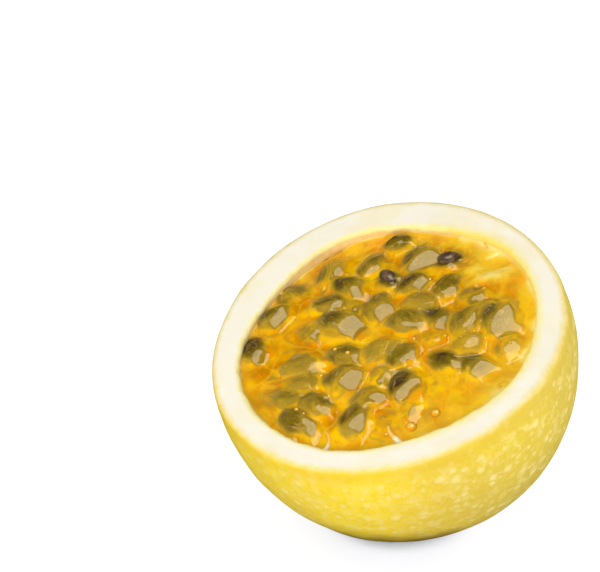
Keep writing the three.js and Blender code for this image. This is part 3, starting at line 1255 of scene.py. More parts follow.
@dataclass
class Rind:
    """The rind as one closed cup: skin, cut rim, and the cavity's wall."""

    form: FruitForm
    finish: RindFinish = field(default_factory=RindFinish)
    around: int = 320
    skin_step: float = 0.75
    rim_step: float = 0.24
    wall_step: float = 1.1
    skin_rounding: float = 1.3
    pith_rounding: float = 1.2
    fine_skin: float = 3.0
    fine_wall: float = 6.0
    skin_lumps: float = 0.11
    cut_waves: float = 0.1
    fray: float = 0.18
    lump_grains: Band = (7.0, 3.0)
    fray_grains: Band = (2.6, 0.9)
    fray_width: float = 1.1
    wave_grains: Band = (9.0, 1.7)
    rim_fade: float = 2.5
    # Where the juice has soaked furthest into the pith: at, spread in degrees and gain.
    fringe: tuple[Triple, ...] = ((-52, 50, 1.9), (36, 26, 2.3))
    fringe_least: float = 0.9
    fringe_ragged: float = 0.35
    # Where along X, in metres, the skin turns greener.
    greener_side: Band = (-0.012, 0.05)
    corner_points: int = 9
    skin_points: int = 400
    wall_points: int = 200
    scar_radius: float = 2.6
    grain: float = 34.0
    grain_depth: float = 0.35

    def corner(self, before: Array, corner: Array, after: Array, radius: float) -> Array:
        """A curve that rounds off a corner.

        Args:
            before: A point before the corner.
            corner: The corner.
            after: A point after it.
            radius: How far from the corner the curve starts.

        Returns:
            The points of the curve, in order.
        """
        start = corner + (before - corner) * radius / np.linalg.norm(before - corner)
        end = corner + (after - corner) * radius / np.linalg.norm(after - corner)
        t = np.linspace(0, 1, self.corner_points)[:, None]
        return (1 - t) ** 2 * start + 2 * t * (1 - t) * corner + t**2 * end

    def profile(self) -> tuple[Array, Array, float, float]:
        """The profile from the lower pole up the skin, over the cut and down the wall.

        Returns:
            Its points, the length along it at each, and that length at the skin's and at the
            pith's corner.
        """
        form = self.form
        skin_end = form.polar_at(form.cut, form.skin_reach)
        wall_start = form.polar_at(form.cut, form.wall_reach)

        def curve(reach_of: Callable[[Array], Array], polar: Array) -> Array:
            """The distance from the axis and the height of a surface at polar angles."""
            reach = reach_of(polar)
            return np.stack([reach * np.sin(polar), -reach * np.cos(polar)], 1)

        skin = curve(form.skin_reach, skin_end * np.linspace(0, 1, self.skin_points) ** 1.1)
        wall = curve(form.wall_reach, np.linspace(wall_start, 0, self.wall_points))
        outer = self.corner(skin[-20], skin[-1], wall[0], self.skin_rounding)
        inner = self.corner(skin[-1], wall[0], wall[6], self.pith_rounding)
        skin = skin[np.linalg.norm(skin - skin[-1], axis=1) > self.skin_rounding]
        wall_rest = wall[np.linalg.norm(wall - wall[0], axis=1) > self.pith_rounding]
        line = np.concatenate([skin, outer, inner, wall_rest])
        length = np.concatenate([[0], np.cumsum(np.linalg.norm(np.diff(line, axis=0), axis=1))])
        half_way = self.corner_points // 2
        skin_corner = length[len(skin) + half_way]
        pith_corner = length[len(skin) + len(outer) + half_way]
        marks = np.concatenate([
            np.arange(0, skin_corner - self.fine_skin, self.skin_step),
            np.arange(skin_corner - self.fine_skin, pith_corner + self.fine_wall, self.rim_step),
            np.arange(pith_corner + self.fine_wall, length[-1], self.wall_step),
            [length[-1]],
        ])
        points = np.stack([np.interp(marks, length, line[:, k]) for k in (0, 1)], 1)
        return points, marks, skin_corner, pith_corner

    def build(self) -> bpy.types.Object:
        """Builds the cup.

        Returns:
            The cup.
        """
        form = self.form
        line, marks, skin_corner, pith_corner = self.profile()
        rings = len(line) - 2
        angle = np.linspace(0, 2 * math.pi, self.around, endpoint=False)
        r = line[1:-1, 0][:, None]
        z = line[1:-1, 1][:, None]
        mark = marks[1:-1][:, None]
        cavity = smooth_step(skin_corner, pith_corner, mark)
        cavity = np.where(mark < skin_corner, 0.0, np.where(mark > pith_corner, 1.0, cavity))
        radius = form.swollen(r, angle[None], cavity)
        x, y = radius * np.cos(angle), radius * np.sin(angle)
        height = np.broadcast_to(z, x.shape)
        on_rim = smooth_step(skin_corner - 1, skin_corner + 1, mark)
        on_rim = on_rim * smooth_step(pith_corner + self.rim_fade, pith_corner, mark)
        at_pith = np.exp(-(((mark - pith_corner) / self.fray_width) ** 2))
        coarse, fine = self.lump_grains
        lumps = Ripple(11, coarse)(x, y, height) + 0.5 * Ripple(12, fine)(x, y, height)
        outwards = self.skin_lumps * lumps * (mark < skin_corner)
        coarse, fine = self.fray_grains
        frayed = Ripple(13, coarse)(x, y) + 0.6 * Ripple(14, fine)(x, y)
        push = outwards + self.fray * frayed * at_pith
        coarse, fine = self.wave_grains
        waves = Ripple(15, coarse)(x, y) + 0.4 * Ripple(16, fine)(x, y)
        scale = 1 + push / np.maximum(radius, 1)
        x, y = x * scale, y * scale
        height = height + self.cut_waves * waves * on_rim
        points = np.stack([x, y, height], -1).reshape(-1, 3)
        poles = np.array([[0, 0, line[0, 1]], [0, 0, line[-1, 1]]])
        placed = form.stand(np.concatenate([points, poles]))
        placed[:, 2] = np.maximum(placed[:, 2], 0)
        faces = self.faces(rings)
        wide = np.broadcast_to(mark, x.shape).reshape(-1)
        wide = np.concatenate([wide, [marks[0], marks[-1]]])
        from_pole = np.concatenate([np.hypot(x, y).reshape(-1), [0, 0]])
        scar = smooth_step(self.scar_radius, self.scar_radius * 0.4, from_pole)
        scar = scar * (wide < skin_corner / 2)
        turns = np.concatenate([np.tile(angle, rings), [0, 0]])
        down = np.full_like(turns, self.grain_depth) * (wide - pith_corner)
        grain = np.stack([self.grain * np.cos(turns), self.grain * np.sin(turns), down], 1)
        layers = {
            "grain": grain,
            "past_skin": wide - skin_corner,
            "to_wall": pith_corner - wide,
            "scar": scar,
            "side": smooth_step(*self.greener_side, placed[:, 0]) * 0.85,
            "fringe": self.fringe_reach(turns),
        }
        return mesh_object("rind_cup", placed, faces, layers)

    def fringe_reach(self, angle: Array) -> Array:
        """How far the juice has soaked into the cut pith.

        Args:
            angle: Angle round the axis.

        Returns:
            The reach in millimetres.
        """
        ragged = Ripple(17, 0.35)(np.cos(angle), np.sin(angle))
        reach = self.fringe_least + self.fringe_ragged * ragged
        for middle, spread, gain in self.fringe:
            away = (angle / DEGREE - middle + 180) % 360 - 180
            reach = reach + gain * np.exp(-((away / spread) ** 2))
        return reach

    def faces(self, rings: int) -> list[tuple[int, ...]]:
        """The cup's faces, outside out.

        Args:
            rings: How many rings of points lie between the two poles.

        Returns:
            The corners of each face.
        """
        around = self.around
        first, last = rings * around, rings * around + 1
        faces: list[tuple[int, ...]] = []
        for i in range(around):
            j = (i + 1) % around
            faces.append((first, j, i))
            for ring in range(rings - 1):
                low, high = ring * around, (ring + 1) * around
                faces.append((low + i, low + j, high + j, high + i))
            top = (rings - 1) * around
            faces.append((top + i, top + j, last))
        return faces

    def dress(self, piece: bpy.types.Object) -> None:
        """Gives the cup its finish and its place in the frame.

        Args:
            piece: The cup.
        """
        piece.data.materials.append(finish_material("rind_skin_and_pith", self.finish.paint))
        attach(piece, BODY)
        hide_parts(Node.RIND.value)


# ---------------------------------------------------------------- pulp


@dataclass
class Sac:
    """One juice sac and the seed in it, in the upright fruit."""

    x: float
    y: float
    z: float
    heading: float
    pitch: float
    half: tuple[float, float, float]
    haze: float
    gleam: float
    tint: float
    blunt: float
    facets: list["Facet"] = field(default_factory=list)


@dataclass(frozen=True)
class Facet:
    """A flat stretch of a sac's skin: a plane's height over the sac's middle, and its falls."""

    level: float
    fall_x: float
    fall_y: float


@dataclass(frozen=True)
class FacetCutter:
    """How the skins of the sacs are pulled flat between folds."""

    gleam: tuple[float, float] = (23.8, -50.1)
    gleam_spread: float = 4.0
    count: int = 6
    tilt: tuple[float, float] = (30.0, 60.0)
    cut: tuple[float, float] = (0.02, 0.11)

    def plane(self, sac: Sac, tilt: float, bearing: float, cut: float) -> Facet:
        """A facet of a sac.

        Args:
            sac: The sac.
            tilt: How far it is tilted from level, in degrees.
            bearing: The way it faces, in degrees.
            cut: How deep it cuts into the sac, as a share.

        Returns:
            The facet.
        """
        flat = math.sin(tilt * DEGREE)
        east, north = flat * math.cos(bearing * DEGREE), flat * math.sin(bearing * DEGREE)
        up = math.cos(tilt * DEGREE)
        cos_h, sin_h = math.cos(sac.heading), math.sin(sac.heading)
        along, across = east * cos_h + north * sin_h, north * cos_h - east * sin_h
        reach = np.linalg.norm(np.array(sac.half) * (along, across, up))
        return Facet(float(reach) * (1 - cut) / up, east / up, north / up)

    def facets(self, sac: Sac, gleam: float, look: np.random.Generator) -> list[Facet]:
        """The facets of a sac.

        Args:
            sac: The sac.
            gleam: How deep the facet that mirrors the softbox is cut. 0 leaves it out.
            look: Where the chance numbers come from.

        Returns:
            The facets.
        """
        tilt, bearing = self.gleam
        spread = look.uniform(-self.gleam_spread, self.gleam_spread, 2)
        made = []
        if gleam > 0:
            bearing = bearing + spread[1] / math.sin(tilt * DEGREE)
            made.append(self.plane(sac, tilt + spread[0], bearing, gleam))
        start = look.uniform(0, 360)
        for i in range(self.count):
            turn = start + 360 * (i + look.uniform(-0.3, 0.3)) / self.count
            made.append(self.plane(sac, look.uniform(*self.tilt), turn, look.uniform(*self.cut)))
        return made


@dataclass
class SacField:
    """The juice sacs: those that show at the cut, and lower ones in the gaps between them."""

    form: FruitForm
    cutter: FacetCutter = FacetCutter()
    width: tuple[float, float] = (3.2, 0.37)
    height: tuple[float, float] = (3.4, 0.2)
    sink: float = 1.0
    sink_spread: float = 0.6
    pitch_spread: float = 12.0
    filler_count: int = 90
    filler_field: float = 27.0
    filler_clearance: float = 5.0
    filler_length: float = 8.6
    filler_sink: float = 1.8
    filler_haze: float = 1.2
    filler_gleam: float = 0.06
    filler_tint: float = 0.3
    seed: int = 2027
    look_seed: int = 11
    # Pools with no lower sac in them: x, y and radius.
    pools: tuple[Triple, ...] = (
        (24.5, 10.5, 6.5), (14, -21, 6.5), (-20, 3.5, 4.5),
    )
    # Each shown sac's x, y, heading and length, how deep the seed lies under its skin, and how
    # deep its gleaming facet is cut.
    shown: tuple[tuple[float, float, float, float, float, float], ...] = (
        (4.2, 24.6, 0, 7.8, 0.1, 0.03), (9, 18.4, 34, 12.3, 0.8, 0.26),
        (14.7, 16.4, 15, 7.6, -1.0, 0.05), (-10.8, 20.7, 54, 11.1, 0.9, 0.04),
        (-1.8, 20.4, 51, 9.6, 0.5, 0), (2, 14, -53, 7.1, -0.3, 0.04),
        (6.3, 11.7, 12, 9.2, 0.35, 0.03), (13.5, 8.7, 61, 9.5, 0.25, 0.06),
        (7.5, 5.9, 0, 10, 1.1, 0), (-6.8, 14.6, -57, 10.6, 0.25, 0.07),
        (-11, 10.6, -26, 10.7, 0.4, 0.03), (-18.8, 17.1, 23, 9.9, 0.6, 0),
        (-22.8, 10.8, 42, 9.4, 0.25, 0.09), (-1.1, 6.9, 67, 10.8, 0.6, 0.11),
        (-9.4, 4.1, -30, 14.4, 0.4, 0.24), (4.7, 1, -5, 11.7, 0.35, 0.04),
        (11, 0.4, -33, 10.6, 0.25, 0.2), (16.4, -2, 55, 11.4, 0.55, 0.03),
        (23.1, -3.6, 75, 14.2, 0.4, 0.3), (-27.2, 2.8, 86, 10, 0.02, 0.12),
        (-17.4, -4.5, -20, 12.8, 0.6, 0.04), (-17.6, -9.1, -22, 11.6, 0.9, 0),
        (-8.5, -4.2, -25, 10.8, 0.5, 0.03), (-1.6, -5, 15, 9.9, 1.1, 0),
        (3.1, -7.6, 31, 8.9, 0.3, 0.03), (11.4, -11, -27, 8.4, 0.15, 0.04),
        (17.4, -14, -36, 10.5, 0.5, 0.3), (16.1, -7.9, 25, 9.1, 1.3, 0),
        (-9.1, -10.6, 17, 10.6, 0.7, 0.15), (3.2, -15.5, 75, 12.2, 0.3, 0.24),
        (-4.1, -16.7, 33, 10, 1.2, 0.12), (-7.2, -21.4, 52, 12.4, 0.3, 0.11),
        (-20.8, -12, -31, 10.3, 0.6, 0), (-14.8, -16, -39, 10.6, 0.4, 0.07),
        (-19.2, -19.2, -53, 11.3, 0.3, 0.1), (8.7, -4, -2, 8.7, 1.4, 0),
    )

    def filler_spots(self) -> list[tuple[float, float]]:
        """Where the lower sacs lie, in the gaps that are left between the shown ones.

        Returns:
            Their x and y in the upright fruit, in millimetres.
        """
        shown = [(x, y) for x, y, *_ in self.shown]
        spots: list[tuple[float, float]] = []
        for i in range(self.filler_count):
            angle = i * GOLDEN_ANGLE
            radius = self.filler_field * math.sqrt((i + 0.5) / self.filler_count)
            x, y = radius * math.cos(angle), radius * math.sin(angle)
            if any(math.dist((x, y), other) < self.filler_clearance for other in shown + spots):
                continue
            if any(math.dist((x, y), pool[:2]) < pool[2] for pool in self.pools):
                continue
            spots.append((x, y))
        return spots

    def sacs(self) -> list[Sac]:
        """Every juice sac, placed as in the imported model.

        Returns:
            The shown sacs and then the fillers.
        """
        chance = Chance(self.seed)
        look = np.random.default_rng(self.look_seed)

        def sac_at(
            x: float, y: float, heading: float, length: float, level: float, haze: float,
            gleam: float,
        ) -> Sac:
            """One sac with its facets.

            Args:
                x: Its place, in millimetres.
                y: The same.
                heading: The way it lies, in degrees.
                length: Its length, in millimetres.
                level: How far its middle lies under the bed, before the chance part.
                haze: How deep its seed lies under its skin.
                gleam: How deep its gleaming facet is cut.

            Returns:
                The sac.
            """
            sink = level + chance.spread(self.sink_spread)
            depth = float(self.form.pulp_depth(math.hypot(x, y), math.atan2(y, x))) + sink
            pitch = chance.spread(self.pitch_spread) * DEGREE
            width = self.width[0] + self.width[1] * length
            height = self.height[0] + self.height[1] * length
            sac = Sac(
                x, y, self.form.cut - depth, heading * DEGREE, pitch,
                (length / 2, width / 2, height / 2),
                haze=haze,
                gleam=gleam,
                tint=float(look.uniform(0, 1)),
                blunt=float(look.uniform(-1, 1)),
            )
            sac.facets = self.cutter.facets(sac, gleam, look)
            return sac

        shown = [sac_at(x, y, heading, length, self.sink, haze, gleam)
                 for x, y, heading, length, haze, gleam in self.shown]
        fillers = [sac_at(x, y, chance() * 180, self.filler_length, self.filler_sink,
                          self.filler_haze, self.filler_gleam)
                   for x, y in self.filler_spots()]
        for sac in fillers:
            sac.tint *= self.filler_tint
        return shown + fillers


@dataclass
class SeedShape:
    """The seeds' sizes, and where each lies in its sac."""

    shortest: float = 2.4
    longest: float = 2.9
    length_share: float = 0.58
    width_share: float = 0.66
    thickness_share: float = 0.4
    towards: tuple[float, float] = (-0.4, 0.6)
    from_gleam: tuple[float, float] = (-3.8, 4.2)

    def place(self, sac: Sac) -> tuple[Array, Array, Array]:
        """Where a sac's seed lies.

        Args:
            sac: The sac.

        Returns:
            The seed's middle, its turn and its half sizes.
        """
        length = min(max(sac.half[0] * self.length_share, self.shortest), self.longest)
        half = np.array([length, length * self.width_share, length * self.thickness_share])
        turn = turn_of(sac.heading, sac.pitch)
        top = sac.z + sac.half[2] - sac.haze - half[2]
        aside = np.array(self.towards) + np.array(self.from_gleam) * sac.gleam
        middle = np.array([sac.x + aside[0], sac.y + aside[1], top])
        return middle, turn, half


def turn_of(heading: float, pitch: float) -> Array:
    """The turn by a pitch and then by a heading.

    Args:
        heading: The turn about Z, in radians.
        pitch: The turn about Y, in radians.

    Returns:
        The turn, as a matrix.
    """
    cos_p, sin_p = math.cos(pitch), math.sin(pitch)
    cos_h, sin_h = math.cos(heading), math.sin(heading)
    about_y = np.array([[cos_p, 0, sin_p], [0, 1, 0], [-sin_p, 0, cos_p]])
    about_z = np.array([[cos_h, -sin_h, 0], [sin_h, cos_h, 0], [0, 0, 1]])
    return about_z @ about_y


@dataclass
class Pulp:
    """The pulp: juice and sacs as one wet surface over the bowl that they fill."""

    form: FruitForm
    sacs: list[Sac]
    seeds: SeedShape
    finish: PulpFinish = field(default_factory=PulpFinish)
    squares: int = 276
    into_wall: float = 0.25
    meniscus: float = 0.55
    meniscus_reach: float = 0.8
    fillet: float = 1.4
    warp: float = 1.0
    warp_grains: Band = (4.2, 1.9)
    fine_warp: float = 0.45
    bed_waves: float = 0.35
    bed_grain: float = 4.5
    dent: float = 0.04
    dent_grain: float = 3.0
    crease: float = 0.07
    crease_grain: float = 3.8
    full_rise: float = 2.2
    tint_blend: float = 0.35
    least_weight: float = 1e-6
    facet_round: float = 0.12
    ring_scale: float = 3.2
    turn_scale: float = 0.8
    flow_offset: float = 7.3
    seam_width: float = 0.16
    flatness: float = 2.15
    flank_from: float = 0.86
    flank: float = 1.8
    taper: float = 0.45
    taper_to: float = 1.1
    narrowest: float = 0.3
    blunt_side: float = 0.28
    haze_length: float = 0.68
    # The side of each seed's cover that painted light pales.
    milky_side: tuple[float, float] = (-0.55, 0.84)
    torn: Triple = (22.5, 13.0, 5.5)
    torn_relief: float = 0.42
    # Where the flesh clings furthest in from the wall: at, spread in degrees and gain.
    clinging: tuple[Triple, ...] = ((-52, 44, 3.6), (38, 24, 2.4))
    clinging_least: float = 1.0
    bowl_rings: int = 7
    bowl_start: float = 1.2

    def edge_radius(self, angle: Array) -> Array:
        """How far out the pulp's surface reaches.

        Args:
            angle: Angle round the axis.

        Returns:
            The radius in millimetres.
        """
        form = self.form
        polar = form.polar_at(form.cut - form.edge_depth, form.wall_reach)
        radius = float(form.wall_reach(polar)) * math.sin(polar)
        return form.swollen(radius, angle, 1.0) + self.into_wall

    def wall_reach(self, angle: Array) -> Array:
        """How far the pale flesh that clings to the wall reaches inwards.

        Args:
            angle: Angle round the axis.

        Returns:
            The reach in millimetres.
        """
        reach = np.full_like(angle, self.clinging_least)
        for middle, spread, gain in self.clinging:
            reach = reach + gain * np.exp(-(((angle / DEGREE - middle) / spread) ** 2))
        return reach

    def surface(self, x: Array, y: Array) -> dict[str, Array]:
        """The pulp's surface.

        Args:
            x: Places in the upright fruit, in millimetres.
            y: The same.

        Returns:
            Its height and the values that the finish reads.
        """
        form = self.form
        radius, angle = np.hypot(x, y), np.arctan2(y, x)
        to_wall = np.maximum(self.edge_radius(angle) - radius, 0)
        bed = form.cut - form.pulp_depth(radius, angle)
        bed = bed + self.bed_waves * Ripple(21, self.bed_grain)(x, y)
        coarse, fine = self.warp_grains
        u = x + self.warp * (Ripple(22, coarse)(x, y) + self.fine_warp * Ripple(23, fine)(x, y))
        v = y + self.warp * (Ripple(24, coarse)(x, y) + self.fine_warp * Ripple(25, fine)(x, y))
        height, tint, weight = bed.copy(), np.zeros_like(x), np.full_like(x, self.least_weight)
        ring, second = np.full_like(x, 9.0), np.full_like(x, 9.0)
        flow = np.zeros((len(x), 3))
        taut = np.zeros_like(x)
        for number, sac in enumerate(self.sacs):
            top, along, across = self.sac_height(sac, u, v)
            for facet in sac.facets:
                level = sac.z + facet.level
                plane = level - facet.fall_x * (x - sac.x) - facet.fall_y * (y - sac.y)
                top = -smooth_max(-top, -plane, self.facet_round)
            over = smooth_step(-0.1, 0.15, top - height)
            # Painted shade: marks each sac's gleaming facet, where the finish darkens the colour
            # under the softbox's reflection.
            taut = taut * (1 - over) + over * self.taut_share(sac, x, y, top)
            height = smooth_max(height, top, self.fillet)
            share = np.exp(np.clip((top - bed) / self.tint_blend, -20, 12))
            tint += share * sac.tint
            weight += share
            reach = np.hypot(along, across)
            nearer = reach < ring
            second = np.where(nearer, ring, np.minimum(second, reach))
            ring = np.where(nearer, reach, ring)
            turn = self.turn_scale / np.maximum(reach, 0.2)
            lines = np.stack([reach * self.ring_scale, along * turn, across * turn], 1)
            flow[nearer] = lines[nearer] + number * self.flow_offset
        ridges = Ripple(41, 1.0)(angle * 26 / 2.2 + radius / 9, radius / 7.0)
        torn = np.exp(-((np.hypot(x - self.torn[0], y - self.torn[1]) / self.torn[2]) ** 2))
        height = height + self.torn_relief * torn * ridges
        rise = height - bed
        on_sac = smooth_step(0.1, 0.9, rise)
        creases = np.abs(Ripple(31, self.crease_grain)(x, y))
        dents = self.dent * Ripple(29, self.dent_grain)(x, y) - self.crease * creases
        height = height + dents * (0.35 + 0.65 * on_sac)
        height = height + self.meniscus * np.exp(-to_wall / self.meniscus_reach)
        strands = Ripple(28, 0.09)(np.cos(angle), np.sin(angle), radius * 0.004)
        seed, milky = self.seed_shade(x, y, height)
        return {
            "height": height,
            "rise": rise / self.full_rise,
            "sac": smooth_step(0.2, 1.6, rise),
            "tint": tint / weight,
            "near_wall": np.exp(-to_wall / self.wall_reach(angle)),
            "strands": 0.5 + 0.5 * strands,
            "linked": smooth_step(1.8, 1.1, ring) * smooth_step(0.5, 3.0, to_wall),
            "torn": torn * (0.6 + 0.7 * ridges),
            "taut": taut,
            "seam": np.exp(-(((second - ring) / self.seam_width) ** 2)),
            "flow": flow,
            "seed": seed,
            "milky": milky,
        }

    @staticmethod
    def taut_share(sac: Sac, x: Array, y: Array, top: Array) -> Array:
        """Where a sac's skin is pulled flat by its gleaming facet, which the finish darkens there
        with painted shade.

        Args:
            sac: The sac.
            x: Places in the upright fruit, in millimetres.
            y: The same.
            top: The sac's height there.

        Returns:
            1 on the facet and 0 off it.
        """
        if sac.gleam <= 0:
            return np.zeros_like(x)
        flat = sac.facets[0]
        plane = sac.z + flat.level - flat.fall_x * (x - sac.x) - flat.fall_y * (y - sac.y)
        return smooth_step(0.25, 0.05, plane - top)

    def sac_height(self, sac: Sac, x: Array, y: Array) -> tuple[Array, Array, Array]:
        """The upper side of a sac, which falls away steeply outside its outline.

        Args:
            sac: The sac.
            x: Places in the upright fruit, in millimetres.
            y: The same.

        Returns:
            Its height, and the places along and across it, 1 at its outline.
        """
        cos_h, sin_h = math.cos(sac.heading), math.sin(sac.heading)
        half_length, half_width, half_height = sac.half
        along = ((x - sac.x) * cos_h + (y - sac.y) * sin_h) / half_length
        across = ((y - sac.y) * cos_h - (x - sac.x) * sin_h) / half_width
        held = np.clip(along, -self.taper_to, self.taper_to)
        narrowed = 1 - self.taper * held * held + self.blunt_side * sac.blunt * held
        reach = np.hypot(along, across / np.maximum(narrowed, self.narrowest))
        kept = np.minimum(reach, self.flank_from)
        cap = (1 - kept**self.flatness) ** (1 / self.flatness) - (reach - kept) * self.flank
        drop = along * half_length * math.tan(sac.pitch)
        return sac.z - drop + cap * half_height, along, across

    def seed_shade(self, x: Array, y: Array, z: Array) -> tuple[Array, Array]:
        """How the seeds show at points of the surface.

        Args:
            x: The points, in the upright fruit.
            y: The same.
            z: The same.

        Returns:
            How dark the nearest seed shows, by how deep it lies, and the painted light on one side
            of its cover.
        """
        shade, milky = np.zeros_like(x), np.zeros_like(x)
        for sac in self.sacs:
            middle, turn, half = self.seeds.place(sac)
            away = np.stack([x - middle[0], y - middle[1], z - middle[2]])
            local = turn.T @ away
            near = np.linalg.norm(local / half[:, None], axis=0)
            steep = np.linalg.norm(local / (half**2)[:, None], axis=0)
            depth = np.maximum(near * (near - 1) / steep, 0)
            own = np.exp(-depth / self.haze_length)
            # Painted light: the seed's cover is made paler on one side.
            side = (away[0] * self.milky_side[0] + away[1] * self.milky_side[1]) / half[1]
            cover = own * smooth_step(-0.1, 1.2, side) * smooth_step(0.1, 0.5, sac.haze)
            milky = np.where(own > shade, cover, milky)
            shade = np.maximum(shade, own)
        return shade, milky

    def build(self) -> bpy.types.Object:
        """Builds the pulp as one closed body.

        Returns:
            The pulp.
        """
        side = self.squares + 1
        a, b = np.meshgrid(np.linspace(-1, 1, side), np.linspace(-1, 1, side), indexing="ij")
        a, b = a.reshape(-1), b.reshape(-1)
        wide = np.abs(a) > np.abs(b)
        safe_a, safe_b = np.where(a == 0, 1, a), np.where(b == 0, 1, b)
        share = np.where(wide, a, b)
        turn = np.where(wide, b / safe_a * math.pi / 4, math.pi / 2 - a / safe_b * math.pi / 4)
        angle = np.where(share < 0, turn + math.pi, turn)
        radius = np.abs(share) * self.edge_radius(angle)
        x, y = radius * np.cos(angle), radius * np.sin(angle)
        made = self.surface(x, y)
        top = np.stack([x, y, made.pop("height")], 1)
        faces = [
            (i * side + j, (i + 1) * side + j, (i + 1) * side + j + 1, i * side + j + 1)
            for i in range(self.squares)
            for j in range(self.squares)
        ]
        bowl, bowl_faces = self.bowl(top, side)
        placed = self.form.stand(np.concatenate([top, bowl]))
        layers = {
            name: np.concatenate([values, np.zeros((len(bowl), *values.shape[1:]))])
            for name, values in made.items()
        }
        return mesh_object("pulp_sacs", placed, faces + bowl_faces, layers)

    def bowl(self, top: Array, side: int) -> tuple[Array, list[tuple[int, ...]]]:
        """The underside, from the surface's edge down inside the wall to the pole.

        Args:
            top: The points of the surface.
            side: How many of them lie along one side.

        Returns:
            The points of the underside and its faces.
        """
        form = self.form
        loop = [i * side for i in range(side)]
        loop += [(side - 1) * side + j for j in range(1, side)]
        loop += [i * side + side - 1 for i in range(side - 2, -1, -1)]
        loop += [j for j in range(side - 2, 0, -1)]
        edge = top[loop]
        angle = np.arctan2(edge[:, 1], edge[:, 0])
        start = form.polar_at(form.cut - form.edge_depth - self.bowl_start, form.wall_reach)
        points, faces, above = [], [], loop
        count = len(loop)
        for ring in range(self.bowl_rings):
            polar = start * (1 - ring / self.bowl_rings)
            reach = float(form.wall_reach(polar, form.wall_gap))
            radius = form.swollen(reach * math.sin(polar), angle, 1.0)
            z = np.full(count, -reach * math.cos(polar))
            points.append(np.stack([radius * np.cos(angle), radius * np.sin(angle), z], 1))
            below = [len(top) + ring * count + k for k in range(count)]
            for k in range(count):
                n = (k + 1) % count
                faces.append((above[n], above[k], below[k], below[n]))
            above = below
        pole = len(top) + self.bowl_rings * count
        points.append(np.array([[0, 0, -float(form.wall_reach(0.0, form.wall_gap))]]))
        faces += [(above[(k + 1) % count], above[k], pole) for k in range(count)]
        return np.concatenate(points), faces

    def dress(self, piece: bpy.types.Object) -> None:
        """Gives the pulp its finish and its place in the frame.

        Args:
            piece: The pulp.
        """
        piece.data.materials.append(finish_material("pulp_wet_sacs", self.finish.paint))
        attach(piece, BODY)
        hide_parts(Node.PULP.value)


# ---------------------------------------------------------------- seeds, bubbles and threads


@dataclass
class BareSeeds:
    """The seeds that lie bare at the cut: copies of one pointed, flattened seed."""

    form: FruitForm
    sacs: list[Sac]
    shape: SeedShape
    finish: SeedFinish = field(default_factory=SeedFinish)
    barest: float = 0.0
    segments: int = 24
    rings: int = 14
    point: float = 0.42

    def build(self) -> bpy.types.Object:
        """Places a point for each bare seed and grows the seeds on them.

        Returns:
            The seeds as one piece.
        """
        lean = np.array(self.form.turn())
        middles, turns, halves = [], [], []
        for sac in self.sacs:
            if sac.haze < self.barest:
                middle, turn, half = self.shape.place(sac)
                middles.append(middle)
                turns.append(tuple(Matrix((lean @ turn).tolist()).to_euler()))
                halves.append(half * MM)
        layers = {"turn": np.array(turns), "half": np.array(halves)}
        piece = mesh_object("seeds_bare", self.form.stand(np.array(middles)), [], layers)
        tree = GeometryTree("seed_coats")
        ball, at = tree.ball(
            tree.setting("Segments", Kind.COUNT, self.segments),
            tree.setting("Rings", Kind.COUNT, self.rings),
        )
        x, y, z = tree.parts(at)
        tip = x.either(0.0)
        narrow = 1 - tip * tip * tree.setting("Point", Kind.AMOUNT, self.point)
        seed = tree.moved(ball, x, y * narrow, z * narrow)
        material = finish_material("seed_coat", self.finish.paint)
        return tree.work(piece, tree.scattered(seed, "turn", "half"), material)

    def dress(self, piece: bpy.types.Object) -> None:
        """Gives the seeds their place in the frame."""
        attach(piece, BODY)


@dataclass
class Bubbles:
    """Bubbles that sit in the juice."""

    form: FruitForm
    pulp: Pulp
    finish: BubbleFinish = field(default_factory=BubbleFinish)
    segments: int = 20
    rings: int = 12
    sunk: float = 0.25
    flat: float = 0.8
    # Each bubble's x, y and radius, in millimetres.
    spots: tuple[Triple, ...] = (
        (3.1, -25.2, 1.25), (8.2, -23.1, 1.05), (-10.5, -2.5, 0.5), (-7.9, -4.6, 0.55),
        (-13.8, -8.2, 0.45), (19.0, 8.6, 0.6), (20.6, 6.9, 0.4), (5.5, -3.4, 0.45),
        (9.9, 11.8, 0.45), (-1.8, -26.2, 0.5), (21.1, -19.7, 0.4), (-8.1, 8.3, 0.5),
        (1.9, -18.8, 0.35), (-19.0, -16.5, 0.5), (-17.6, -17.9, 0.35), (11.8, -4.3, 0.35),
        (15.0, -6.2, 0.3), (24.4, -9.6, 0.35), (22.7, -8.1, 0.25), (13.1, 20.8, 0.4),
    )

    def build(self) -> bpy.types.Object:
        """Places a point for each bubble and grows the bubbles on them.

        Returns:
            The bubbles as one piece.
        """
        x, y, size = np.array(self.spots).T
        z = self.pulp.surface(x, y)["height"] - self.sunk * size
        lean = tuple(self.form.turn().to_euler())
        layers = {
            "turn": np.tile(lean, (len(x), 1)),
            "half": np.stack([size, size, size * self.flat], 1) * MM,
        }
        piece = mesh_object("bubbles", self.form.stand(np.stack([x, y, z], 1)), [], layers)
        tree = GeometryTree("juice_bubbles")
        ball, at = tree.ball(
            tree.setting("Segments", Kind.COUNT, self.segments),
            tree.setting("Rings", Kind.COUNT, self.rings),
        )
        bubble = tree.keep(ball, "level", tree.parts(at)[2])
        material = finish_material("bubble_film", self.finish.paint)
        return tree.work(piece, tree.scattered(bubble, "turn", "half"), material)

    def dress(self, piece: bpy.types.Object) -> None:
        """Gives the bubbles their place in the frame."""
        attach(piece, BODY)


@dataclass(frozen=True)
class Thread:
    """A thread on the pulp, in millimetres: its bends, and its half width at either end."""

    bends: tuple[tuple[float, float], ...]
    root: float
    tip: float
    soak: float


